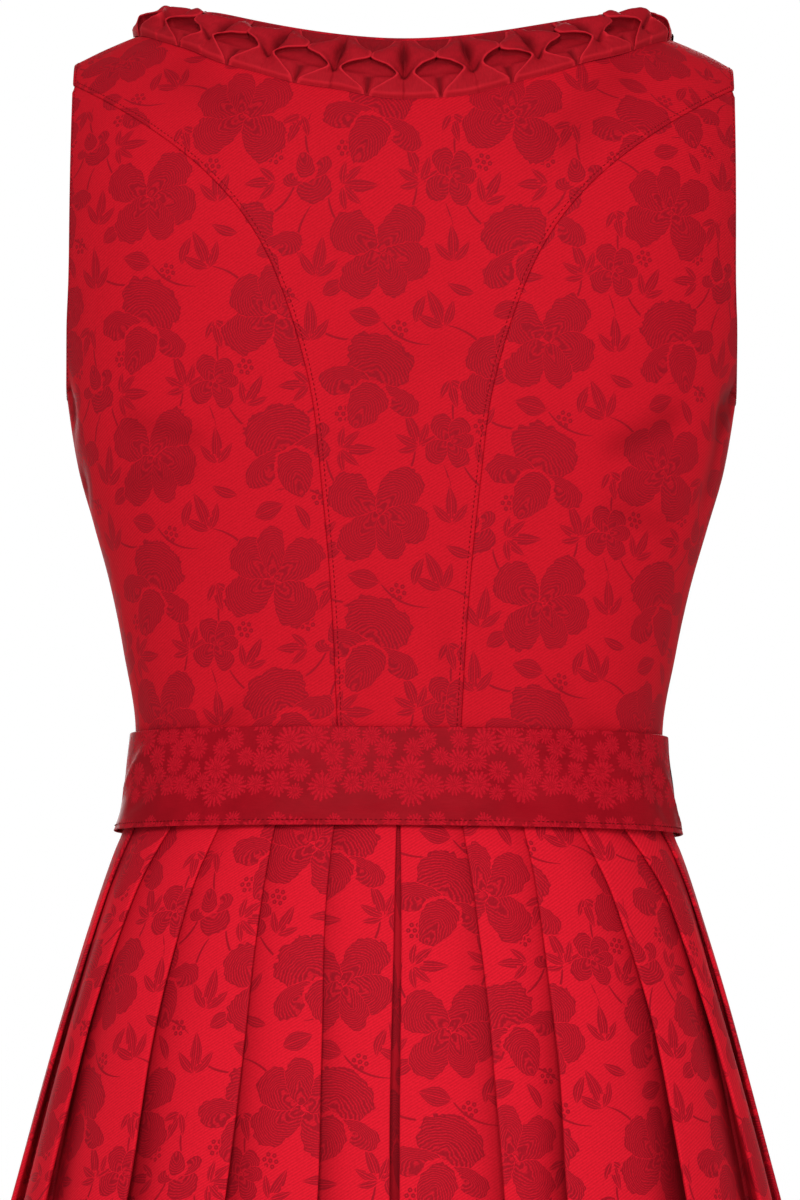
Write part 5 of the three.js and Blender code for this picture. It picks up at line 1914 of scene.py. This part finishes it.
    def build(self) -> list[Piece]:
        """The back between the side folds, and the two fronts."""
        left, cut = self.half(FOLDS_LEFT, 1, 21, DEPTHS_LEFT)
        right, _ = self.half(FOLDS_RIGHT, -1, 33, DEPTHS_RIGHT)
        shifts = (0.0, (47.0, 22.0), 0.0)
        back = [
            np.concatenate([b[:, cut::-1] + shift, a[:, : cut + 1]], 1)
            for a, b, shift in zip(left, right, shifts)
        ]
        return [
            cloth_object(name, points, self.cloth, uv, flip, self.weave, tone)
            for name, (points, uv, tone), flip in (
                ("skirt_back_pleats", back, False),
                ("skirt_front_pleats_left", [grid[:, cut:] for grid in left], False),
                ("skirt_front_pleats_right", [grid[:, cut:] for grid in right], True),
            )
        ]


# ---- apron

SIDE_PLEAT = 5.85
RIGHT_END = 2 * PLEATS - SIDE_PLEAT
BOW_PLEAT = 10.0
APRON_HALF_PLEATS = 4.9
BOW_HEIGHT = -381.0
CLOTH_OVER = 0.7

LEFT_TIE_CREASES = (
    Crease(-196, -399, -168, -364, 4.0, 1.1),
    Crease(-150, -402, -128, -362, 5.0, 0.7),
    Crease(-64, -365, -116, -378, 3.4, -1.7),
    Crease(-72, -371, -124, -385, 4.0, 1.0),
    Crease(-92, -391, -128, -381, 3.0, -1.3),
    Crease(-176, -404, -150, -376, 3.0, -0.6),
    Crease(96, -364, 150, -396, 4.0, 0.9),
    Crease(128, -361, 176, -388, 4.5, -0.8),
    Crease(150, -366, 196, -402, 4.0, 1.0),
    Crease(40, -368, 84, -396, 5.0, 0.4),
    Crease(-70, -398, -36, -368, 6.0, 0.35),
    Crease(-20, -362, 10, -396, 7.0, 0.3),
)
RIGHT_TIE_CREASES = (Crease(420, -364, 450, -398, 5, 0.7), Crease(330, -400, 350, -366, 4, 0.6))

# Turned edges: how far each row or column of cloth is from the edge, and its lift. The distances
# are in millimetres, but in stretches between columns at a band's end and in shares at the sides.
BAND_FOLD = np.array([
    (9.0, -0.75), (3.0, -0.72), (0.6, -0.66), (0.12, -0.45), (0.0, -0.25), (0.12, -0.08), (0.5, 0.0),
])
END_FOLD = np.array([(5.0, -0.75), (0.0, -0.3), (0.25, -0.05)])
SIDE_FOLD = np.array([(0.018, -1.2), (0.006, -1.1), (0.0008, -0.75), (0.0, -0.4), (0.0006, -0.1)])
HEM_FOLD = np.array([(1.2, 0.0), (0.3, -0.1), (0.0, -0.5), (0.6, -1.0), (24.0, -1.1)])


def between_folds(fold: Array, low: float, high: float, middle: Array) -> tuple[Array, Array]:
    """Places from low to high with a turned edge at either end, and their lifts."""
    places = np.concatenate([low + fold[:, 0], middle, high - fold[::-1, 0]])
    return places, np.concatenate([fold[:, 1], np.zeros(len(middle)), fold[::-1, 1]])


def gather_depth(z: Array) -> Array:
    """Half the depth of the apron's gathers: shallow at the band, deeper at the hem."""
    return 1.2 + 3.8 * np.clip((BAND_BOTTOM - z) / (BAND_BOTTOM - APRON_HEM), 0, 1)


def apron_lift(z: Array) -> Array:
    """How far the middle of the apron's cloth lies outside the skirt's section."""
    return REACH(z) + 1.7 + gather_depth(z)


def at_pleat(rings: Rings, pleat: Array, along_it: Array, lift: Array, z: Array) -> Array:
    """Points on a section, counted in pleats from the centre back over the left side."""
    distance = pleat * rings.length(z)[:, None] / PLEATS + along_it
    return rings.points(z, *np.broadcast_arrays(distance, lift))


def over_apron(along_it: Array, up: Array, lift: Array) -> Array:
    """Points over the apron's outer surface, near the bow.

    Every point has its own height, so each one is treated as a row of its own.

    Args:
        along_it: distances from the knot to the wearer's right.
        up: heights over the knot.
        lift: how far the points lie off the surface.

    Returns:
        The points, in the shape that the three have together.
    """
    along_it, up, lift = np.broadcast_arrays(along_it, up, lift)
    z = (BOW_HEIGHT + up).ravel()
    a, h = along_it.ravel()[:, None], lift.ravel()[:, None]
    surface = (apron_lift(z) + gather_depth(z) + CLOTH_OVER)[:, None]
    on_band = at_pleat(BAND_RINGS, BOW_PLEAT, a, h, np.maximum(z, BAND_BOTTOM))[:, 0]
    on_skirt = at_pleat(SKIRT_RINGS, BOW_PLEAT, a, surface + h, z)[:, 0]
    on_band[:, 2] = z
    share = smooth(-z, -BAND_BOTTOM - 1, -BAND_BOTTOM + 9)[:, None]
    return (on_band * (1 - share) + on_skirt * share).reshape(along_it.shape + (3,))


@dataclass
class Apron:
    """The satin apron: its panel, its waistband, and the tie that goes twice round."""

    cloth: Material
    thread: Material
    weave: Weave
    border: Weave
    band_rows: int = 22
    band_spacing: float = 2.4
    band_middle: float = -383.0
    seam_inset: float = 2.6
    waistband_inset: float = 1.5
    waistband_drop: float = 3.5
    gathers: int = 12
    panel_columns: int = 234
    panel_spacing: float = 3.2
    cut_width: float = 1050.0
    most_swell: float = 1.15
    stitch_points: int = 700

    def band(
        self, name: str, first: float, last: float, creases: Sequence[Crease] = (), outer: bool = True
    ) -> Piece:
        """A stretch of band with turned edges.

        Args:
            name: the piece's name.
            first: its start, counted in pleats.
            last: its end.
            creases: soft folds, by distance from the centre back and height.
            outer: whether it is the tie, which shows its weave and runs on at its ends. The
                waistband lies under the tie, plain and lower, and its ends are turned in.

        Returns:
            The band.
        """
        bottom, top = BAND_BOTTOM, WAIST if outer else WAIST - self.waistband_drop
        middle = np.linspace(bottom + 1.6, top - 1.6, self.band_rows)
        z, lift_z = between_folds(BAND_FOLD, bottom, top, middle)
        length = float(BAND_RINGS.length(np.array([self.band_middle]))[0]) / PLEATS
        count = int(abs(last - first) * length / self.band_spacing)
        share = np.linspace(0, 1, count + 1)
        lift_s = np.zeros_like(share)
        if not outer:
            share, lift_s = between_folds(END_FOLD / (count, 1), 0.0, 1.0, share[3:-3])
        pleat = (first + (last - first) * share)[None]
        u, v = pleat * length, z[:, None]
        seamed = 0.22 * bell(v, bottom + self.seam_inset, 1.0)
        sag = creased(u, v, creases) + 0.35 * soft_noise(u, v * 1.6, 8, 38.0)
        sag = sag + 0.14 * soft_noise(u, v, 18, 11.0)
        fade = smooth(v, bottom - 1, bottom + 6) * (1 - 0.7 * smooth(v, top - 5, top))
        inset = 0.0 if outer else self.waistband_inset
        lift = np.minimum(lift_z[:, None], lift_s[None]) + sag * fade - seamed - inset
        points = at_pleat(BAND_RINGS, pleat, 0.0, lift, z)
        weave = self.border if outer else None
        return cloth_object(name, points, self.cloth, stacked(u, v - bottom), True, weave)

    def panel(self) -> Piece:
        """The apron's panel: gathers that run down from the band and open to the hem."""
        z = np.concatenate([
            [BAND_BOTTOM + 11.7, BAND_BOTTOM + 3],
            np.arange(BAND_BOTTOM - 1, APRON_HEM + 3, -self.panel_spacing),
            APRON_HEM + HEM_FOLD[:, 0],
        ])
        turned = np.concatenate([np.zeros(len(z) - len(HEM_FOLD)), HEM_FOLD[:, 1]])
        share, rim = between_folds(SIDE_FOLD, 0.0, 1.0, np.linspace(0, 1, self.panel_columns + 2)[1:-1])
        pleat = PLEATS + APRON_HALF_PLEATS * (2 * share[None] - 1)
        s, level = share[None], z[:, None]
        wander = 0.10 * soft_noise(s * 600, level * 0.45, 41, 260.0)
        wave = -np.cos(2 * np.pi * (self.gathers * s + wander * smooth(-level, 406, 560)))
        fine = 0.45 * soft_noise(s * 900, level * 0.12, 43, 14.0) * (1 - smooth(-level, 430, 640))
        swell = np.minimum(1 + 0.3 * soft_noise(s * 600, level * 0.3, 47, 120.0), self.most_swell)
        gathered = gather_depth(z)[:, None] * np.clip(wave * swell, -1.05, self.most_swell)
        lift = apron_lift(z)[:, None] + gathered + fine + CLOTH_OVER + turned[:, None] + rim[None]
        lift[:2] = lift[2:3] - 1.0
        points = at_pleat(SKIRT_RINGS, pleat, 0.0, lift, z)
        uv = stacked((s - 0.5) * self.cut_width, level)
        return cloth_object("apron_cloth", points, self.cloth, uv, False, self.weave)

    def build(self) -> list[Piece]:
        """The three bands and the panel."""
        return [
            self.band("tie_left", -SIDE_PLEAT, BOW_PLEAT, LEFT_TIE_CREASES),
            self.band("tie_right", BOW_PLEAT, RIGHT_END, RIGHT_TIE_CREASES),
            self.band("waistband", SIDE_PLEAT, RIGHT_END, outer=False),
            self.panel(),
        ]

    def stitch(self) -> Piece:
        """The stitching along the tie's lower edge."""
        pleat = (-SIDE_PLEAT + np.linspace(0, 1, self.stitch_points) * (2 * PLEATS))[:, None]
        z = np.full(self.stitch_points, BAND_BOTTOM + self.seam_inset)
        points, outer = (at_pleat(BAND_RINGS, pleat, 0.0, lift, z)[:, 0] for lift in (0.02, 1.02))
        return stitches_object("tie_stitches", points, outer - points, 2.4, self.thread)


@dataclass
class Bow:
    """The bow on the wearer's left front: a wrapped knot, two loops and two tails."""

    cloth: Material
    weave: Weave
    width: float = 44.0
    pinch: float = 15.0
    knot_half: tuple[float, float, float] = (13.0, 9.0, 19.6)
    knot_lift: float = 9.95
    loop_start: float = 13.2
    loop_length: float = 78.0
    loop_droop: float = 16.0
    loop_cut: float = 190.0
    tail_length: float = 330.0
    tail_slant: float = 18.0
    tail_drop: float = 21.0

    def knot(self) -> Piece:
        """The knot: an egg whose cloth is wrapped round it in folds that run upright."""
        lat = np.linspace(-0.5 * np.pi, 0.5 * np.pi, 41)[:, None]
        lon = np.linspace(0, 2 * np.pi, 73)[None]
        fold = 1 + 0.055 * np.cos(9 * lon + 1.6 * np.sin(lat)) * np.cos(lat)
        fold = fold + 0.03 * np.sin(5 * lon + 2 * lat)
        wide, deep, high = self.knot_half
        centre = over_apron(0.0, 0.0, self.knot_lift)
        outward = unit((centre - over_apron(0.0, 0.0, 0.0)) * (1, 1, 0))
        across = np.cross(outward, UPRIGHT) * (wide * np.cos(lat) * np.cos(lon) * fold)[..., None]
        out = outward * (deep * np.cos(lat) * np.sin(lon) * fold)[..., None]
        points = centre + across + out + UPRIGHT * (high * np.sin(lat))[..., None]
        uv = stacked(lon * 11.0, lat * 20.0)
        return cloth_object("bow_knot_cloth", points, self.cloth, uv, False, self.weave)

    def loop(self, name: str, side: int) -> Piece:
        """A loop: the strip leaves the knot, turns round at its end and comes back behind itself.

        Args:
            name: the piece's name.
            side: 1 towards the centre front and -1 towards the side seam.

        Returns:
            The loop.
        """
        across = np.linspace(0, 1, 25)[:, None]
        t = np.linspace(0, 1, 111)[None]
        arch = np.sin(t * np.pi)
        out = self.loop_start + (self.loop_length - self.loop_start) * arch
        lift = 10.5 + 7.5 * np.sin(t * 2 * np.pi) + 1.4 * np.cos(t * np.pi)
        off = (self.pinch + (self.width - self.pinch) * arch**0.7) * (across - 0.5)
        pinched = 1 - smooth(out, self.loop_start, self.loop_start + 42)
        fold = 1.3 * np.cos(across * np.pi * 5 + side) * pinched
        cup = 1.2 * (np.abs(across - 0.5) * 2) ** 2 * arch
        level, steep = math.cos(math.radians(self.loop_droop)), math.sin(math.radians(self.loop_droop))
        points = over_apron(side * (out * level + off * steep), off * level - out * steep, lift + fold - cup)
        uv = stacked(t * self.loop_cut, across * self.width)
        return cloth_object(name, points, self.cloth, uv, side < 0, self.weave)

    def tail(self, name: str, side: int, length: float) -> Piece:
        """A tail: it fans out below the knot, and its end is cut on a slant.

        Args:
            name: the piece's name.
            side: as for a loop.
            length: down its shorter edge, in millimetres.

        Returns:
            The tail.
        """
        t = np.linspace(0, 1, 150)[:, None]
        across = np.linspace(0, 1, 21)[None]
        fan = np.minimum(t * length / 70, 1)
        fan = fan * (2 - fan)
        width = self.pinch + (self.width - self.pinch) * fan
        start, end = self.pinch / 2 + 1.5, self.width / 2 + 4
        middle = start + (end - start) * fan + t * length * 0.06
        share = across if side > 0 else 1 - across
        drop = self.tail_drop + t * (length + self.tail_slant * share)
        wave = 1.6 * (1 + np.sin(t * 9 + across * 2.5)) * fan
        fold = 0.9 * np.cos(share * np.pi * 4) * np.exp(-t * length / 45)
        hem = -0.5 * bell(np.abs(across - 0.5) * self.width, 0.5 * self.width, 1.2)
        points = over_apron(side * (middle + width * (share - 0.5)), -drop, 1.2 + wave + fold + hem)
        uv = stacked(share * self.width, -t * length)
        return cloth_object(name, points, self.cloth, uv, False, self.weave)

    def build(self) -> list[Piece]:
        """The knot, both loops and both tails."""
        return [
            self.knot(),
            self.loop("bow_loop_cloth_left", -1),
            self.loop("bow_loop_cloth_right", 1),
            self.tail("bow_tail_cloth_left", -1, self.tail_length),
            self.tail("bow_tail_cloth_right", 1, self.tail_length * 0.93),
        ]


# ---- front closure

STAND_TOP = NECK.front - 37.3
# Half of the strip's section, from its turned edge to its middle: share of the width, and lift.
STAND_FOLD = np.array([
    (-0.72, -1.15), (-0.95, -1.1), (-0.995, -0.8), (-1.0, -0.45), (-0.99, -0.15), (-0.93, 0.0),
    (-0.8, -0.12), (-0.6, 0.0), (-0.4, 0.0), (-0.2, 0.0), (0.0, 0.0),
])
# A button's section from the middle of its dome to the middle of its back: radius and height.
BUTTON_PROFILE = np.array([
    (0.0, 2.8), (0.6, 2.8), (1.1, 2.78), (1.7, 2.7), (2.3, 2.6), (2.9, 2.48), (3.5, 2.32), (4.1, 2.14),
    (4.6, 1.98), (5.0, 1.86), (5.4, 1.9), (5.75, 2.2), (6.1, 2.35), (6.5, 2.2), (6.85, 1.8), (7.0, 1.2),
    (6.95, 0.6), (6.6, 0.25), (4.5, 0.05), (0.01, 0.0),
])


@dataclass
class Closure:
    """The button stand at the centre front, with its seven buttons."""

    cloth: Material
    brass: Material
    thread: Material
    weave: Weave
    half_width: float = 11.0
    lift: float = 2.6
    stand_rows: int = 84
    count: int = 7
    radius: float = 7.0
    end_inset: float = 10.0
    over_cloth: float = 0.45
    domed_rows: int = 16

    @property
    def half_turn(self) -> float:
        """The strip's half width as an angle round the figure, in degrees."""
        return math.degrees(self.half_width / float(FIGURE.front(np.array(WAIST))))

    def stand(self) -> Piece:
        """The strip over the opening."""
        side, fold = STAND_FOLD.T
        side = np.concatenate([side, -side[-2::-1]])[None]
        fold = np.concatenate([fold, fold[-2::-1]])[None]
        z = np.linspace(WAIST + 0.3, STAND_TOP, self.stand_rows)[:, None]
        turn, climb = np.broadcast_arrays(180 + side * self.half_turn, z - YOKE)
        lift = self.lift + fold + 0.12 * soft_noise(turn * 3, climb, 51, 30.0)
        points = FIGURE.lifted(stacked(turn, climb), lift)
        uv = stacked((turn - 180) * 1.9, climb + 37)
        return cloth_object("button_stand", points, self.cloth, uv, True, self.weave)

    def stand_stitches(self) -> list[Piece]:
        """A row of stitches up each side of the strip."""
        climb = np.linspace(WAIST + 2, NECK.front - 39, 200) - YOKE
        rows = []
        for name, side in (("left", -1), ("right", 1)):
            turn = np.full_like(climb, 180 + side * self.half_turn * 0.8)
            points = FIGURE.lifted(stacked(turn, climb), np.full_like(climb, self.lift - 0.06))
            rows.append(stitches_object(
                f"button_stand_stitches_{name}", points, FIGURE.normal(turn, climb), 2.0, self.thread,
            ))
        return rows

    def button(self, index: int) -> Piece:
        """A domed brass button with a beaded rim and a flower of eight petals in relief.

        Args:
            index: its number from the top, from 0.

        Returns:
            The button.
        """
        first, last = STAND_TOP - self.end_inset, WAIST + self.end_inset
        climb = first + (last - first) * index / (self.count - 1) - YOKE
        front = np.array(180.0)
        centre = FIGURE.point(front, np.array(climb))
        normal = FIGURE.normal(front, np.array(climb))
        ends = (FIGURE.point(front, np.array(climb + reach)) for reach in (-self.radius, self.radius))
        base = self.lift + self.over_cloth + max(0.0, *((end - centre) @ normal for end in ends))
        side = unit(np.cross(normal, UPRIGHT))
        r, h = BUTTON_PROFILE.T[..., None]
        angle = np.linspace(0, 2 * np.pi, 65)[None]
        petal = 0.5 + 0.5 * np.cos(8 * angle)
        bead = 0.5 + 0.5 * np.cos(24 * angle)
        raised = 0.45 * bell(r, 3.1, 1.3) * petal + 0.3 * bell(r, 0, 1.0) + 0.25 * bell(r, 6.1, 0.4) * bead
        domed = (np.arange(len(r)) < self.domed_rows)[:, None]
        x, y = (r * np.cos(angle))[..., None], (r * np.sin(angle))[..., None]
        z = (h + raised * domed + base)[..., None]
        points = centre + side * x + np.cross(side, normal) * y + normal * z
        faces = grid_faces(*raised.shape, flip=True)
        piece = mesh_object(f"brass_button_{index + 1}", points, faces, self.brass)
        give(piece, "hollow", 1 - np.clip(raised * 2.2, 0, 1))
        return piece

    def build(self) -> list[Piece]:
        """The strip and its buttons."""
        return [self.stand()] + [self.button(i) for i in range(self.count)]


# ---- studio


@dataclass
class Studio:
    """Pale floor, soft light and the camera.

    Each lamp has a place, a size and a power. The floor's rings have a radius and the strength
    of the floor's painted glow there, as a share of the surround's white.
    """

    paper: Material
    camera_place: tuple[float, float, float] = (0.0, 3.45, -0.55)
    aim: tuple[float, float, float] = (0.0, 0.0, -0.2906)
    lens: float = 209.68
    sensor: float = 36.0
    farthest: float = 50.0
    roll: float = 0.4
    lamps: tuple[tuple[str, tuple[float, float, float], float, float], ...] = (
        ("key", (1.3, 6.8, 2.1), 2.2, 275),
        ("fill", (-1.9, 6.9, 0.9), 2.6, 150),
        ("front_key", (-1.3, -6.8, 2.1), 2.2, 275),
        ("front_fill", (1.9, -6.9, 0.9), 2.6, 150),
    )
    lit: tuple[float, float, float] = (0.0, 0.0, -0.4)
    surround: float = 0.36
    floor_rings: tuple[tuple[float, float], ...] = (
        (0.0, 0.0), (500.0, 0.0), (1500.0, 0.03), (3500.0, 0.35), (6000.0, 1.0),
    )
    floor_sides: int = 96
    floor_gap: float = 2.0

    def floor(self) -> None:
        """A wide disc of paper just under the hem."""
        angle = np.linspace(0, 2 * np.pi, self.floor_sides + 1)[None]
        radius, far = np.array(self.floor_rings).T[..., None]
        points = stacked(radius * np.cos(angle), radius * np.sin(angle), HEM - self.floor_gap)
        disc = mesh_object("studio_floor", points, grid_faces(*points.shape[:2], flip=True), self.paper)
        give(disc, "far", np.broadcast_to(far, points.shape[:2]))

    def lamp(self, name: str, place: tuple[float, float, float], size: float, power: float) -> None:
        """A square soft light that faces the dress.

        Args:
            name: its name.
            place: where it hangs, in metres.
            size: its side in metres.
            power: its power in watts.
        """
        data = bpy.data.lights.new(name, "AREA")
        data.shape = "SQUARE"
        data.size = size
        data.energy = power
        lamp = bpy.data.objects.new(name, data)
        lamp.location = place
        lamp.rotation_euler = (Vector(self.lit) - Vector(place)).to_track_quat("-Z", "Y").to_euler()
        bpy.context.scene.collection.objects.link(lamp)

    def light(self) -> None:
        """A soft key and fill on either side, and a surround that is white to the camera only."""
        for lamp in self.lamps:
            self.lamp(*lamp)
        world = bpy.data.worlds.new("surround")
        world.use_nodes = True
        tree = world.node_tree
        background = tree.nodes["Background"]
        background.inputs[0].default_value = (1, 1, 1, 1)
        path = tree.nodes.new("ShaderNodeLightPath")
        strength = tree.nodes.new("ShaderNodeMapRange")
        strength.inputs["To Min"].default_value = self.surround
        tree.links.new(path.outputs["Is Camera Ray"], strength.inputs["Value"])
        tree.links.new(strength.outputs[0], background.inputs[1])
        bpy.context.scene.world = world
        bpy.context.scene.view_settings.view_transform = "Standard"

    def camera(self) -> None:
        """A long lens behind the dress, a little below its middle."""
        data = bpy.data.cameras.new("camera")
        data.lens = self.lens
        data.sensor_width = self.sensor
        data.clip_end = self.farthest
        camera = bpy.data.objects.new("camera", data)
        turned = (Vector(self.aim) - Vector(self.camera_place)).to_track_quat("-Z", "Y").to_matrix()
        turned = turned @ Matrix.Rotation(math.radians(self.roll), 3, "Z")
        camera.matrix_world = Matrix.Translation(self.camera_place) @ turned.to_4x4()
        bpy.context.scene.collection.objects.link(camera)
        bpy.context.scene.camera = camera

    def build(self) -> None:
        """Sets the whole studio up."""
        self.camera()
        self.light()
        self.floor()


# ---- declarations


class Held(Enum):
    """How a cloth is held."""

    HUNG = "hung"
    GATHERED = "gathered"
    STRETCHED = "stretched"
    DRAPED = "draped"
    FOLDED = "folded"


@dataclass(frozen=True)
class Sheet:
    """The solid that a cloth piece stands for, its cut length, and how it hangs and on what."""

    node: str
    length: float
    held: Held
    rests_on: tuple[str, ...]


def sheets(held: Held, *rows: tuple) -> list[Sheet]:
    """Sheets held in one way, from rows of the solid, the cut length and what it rests on."""
    return [Sheet(node, length, held, tuple(rests_on)) for node, length, *rests_on in rows]


BODICE_SHEETS = sheets(
    Held.HUNG,
    ("bodice_back_centre", 0.41, "bodice_back_side_left", "bodice_back_side_right"),
    ("bodice_back_side_left", 0.36, "bodice_back_centre", "bodice_front_side_left"),
    ("bodice_back_side_right", 0.36, "bodice_back_centre", "bodice_front_side_right"),
    ("bodice_front_left", 0.38, "bodice_front_side_left", "bodice_back_centre"),
    ("bodice_front_side_left", 0.30, "bodice_front_left", "bodice_back_side_left"),
    ("bodice_front_right", 0.38, "bodice_front_side_right", "bodice_back_centre"),
    ("bodice_front_side_right", 0.30, "bodice_front_right", "bodice_back_side_right"),
)
RUCHING_SHEETS = sheets(
    Held.GATHERED,
    ("neck_ruching_back", 0.045, "bodice_back_centre"),
    ("neck_ruching_front_left", 0.045, "bodice_front_left"),
    ("neck_ruching_front_right", 0.045, "bodice_front_right"),
)
STAND_SHEETS = sheets(Held.HUNG, ("front_placket", 0.16, "bodice_front_left"))
SKIRT_SHEETS = sheets(
    Held.GATHERED,
    ("skirt_back", 0.73, "bodice_back_centre"),
    ("skirt_front_left", 0.73, "bodice_back_centre"),
    ("skirt_front_right", 0.73, "bodice_back_centre"),
)
APRON_SHEETS = sheets(
    Held.STRETCHED,
    ("apron_tie_left", 0.066, "bodice_back_centre"),
    ("apron_tie_right", 0.066, "apron_waistband"),
    ("apron_waistband", 0.066, "bodice_front_left"),
) + sheets(Held.GATHERED, ("apron_panel", 0.66, "skirt_front_left"))
BOW_SHEETS = sheets(Held.FOLDED, ("bow_knot", 0.04, "apron_tie_left")) + sheets(
    Held.DRAPED,
    ("bow_loop_left", 0.044, "bow_knot"),
    ("bow_loop_right", 0.044, "bow_knot"),
    ("bow_tail_left", 0.33, "apron_panel"),
    ("bow_tail_right", 0.31, "apron_panel"),
)


def declare(pieces: Sequence[Piece], sheets: Sequence[Sheet]) -> None:
    """Parents cloth pieces to the root and hides the solids that they stand for.

    Args:
        pieces: the cloths.
        sheets: what each one is; each piece's area is logged.
    """
    for piece, sheet in zip(pieces, sheets, strict=True):
        area = mesh_area(piece)
        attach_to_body(piece, "root")
        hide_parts(sheet.node)
        LOG.info("%s: %.3f m2, %d faces", piece.name, area, len(piece.data.polygons))


def attach(pieces: Sequence[Piece], nodes: Sequence[str] = ()) -> None:
    """Makes small pieces ride on the dress and hides the solids that they stand for.

    Args:
        pieces: the small pieces.
        nodes: the solid that each one stands for, if they stand for any.
    """
    for i, piece in enumerate(pieces):
        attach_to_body(piece, "root")
        if nodes:
            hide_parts(nodes[i])
        LOG.info("%s: %d faces", piece.name, len(piece.data.polygons))


def main() -> None:
    """Builds the dress, the apron and the studio."""
    red = JacquardFinish("red_jacquard", (0.545, 0.006, 0.0165, 1), (0.26, 0.004, 0.012, 1)).make()
    skirt_red = JacquardFinish("red_skirt_jacquard", (0.665, 0.008, 0.022, 1), (0.26, 0.004, 0.012, 1)).make()
    plain = PlainFinish("plain_red_cotton", (0.34, 0.005, 0.012, 1)).make()
    satin = SatinFinish("dark_red_satin", (0.275, 0.003, 0.009, 1), (0.47, 0.006, 0.017, 1)).make()
    thread = ThreadFinish("red_thread", (0.24, 0.003, 0.008, 1)).make()
    satin_thread = ThreadFinish("dark_red_thread", (0.17, 0.003, 0.007, 1)).make()
    brass = BrassFinish("old_brass", (0.55, 0.42, 0.26, 1), (0.10, 0.07, 0.045, 1)).make()
    paper = FloorFinish("pale_paper", (0.80, 0.80, 0.80, 1)).make()

    Studio(paper).build()

    bodice = Bodice(red, thread, FLOWER_WEAVE)
    declare(bodice.build(), BODICE_SHEETS)
    attach(bodice.stitch_all())
    declare(Ruching(plain).build(), RUCHING_SHEETS)

    closure = Closure(red, brass, thread, FLOWER_WEAVE)
    stand, *buttons = closure.build()
    declare([stand], STAND_SHEETS)
    attach(buttons, [f"button_{i}" for i in range(1, closure.count + 1)])
    attach(closure.stand_stitches())

    declare(Skirt(skirt_red, FLOWER_WEAVE).build(), SKIRT_SHEETS)

    apron = Apron(satin, satin_thread, DAISY_WEAVE, BORDER_WEAVE)
    declare(apron.build(), APRON_SHEETS)
    attach([apron.stitch()])
    declare(Bow(satin, DAISY_WEAVE).build(), BOW_SHEETS)


if __name__ == "__main__":
    main()
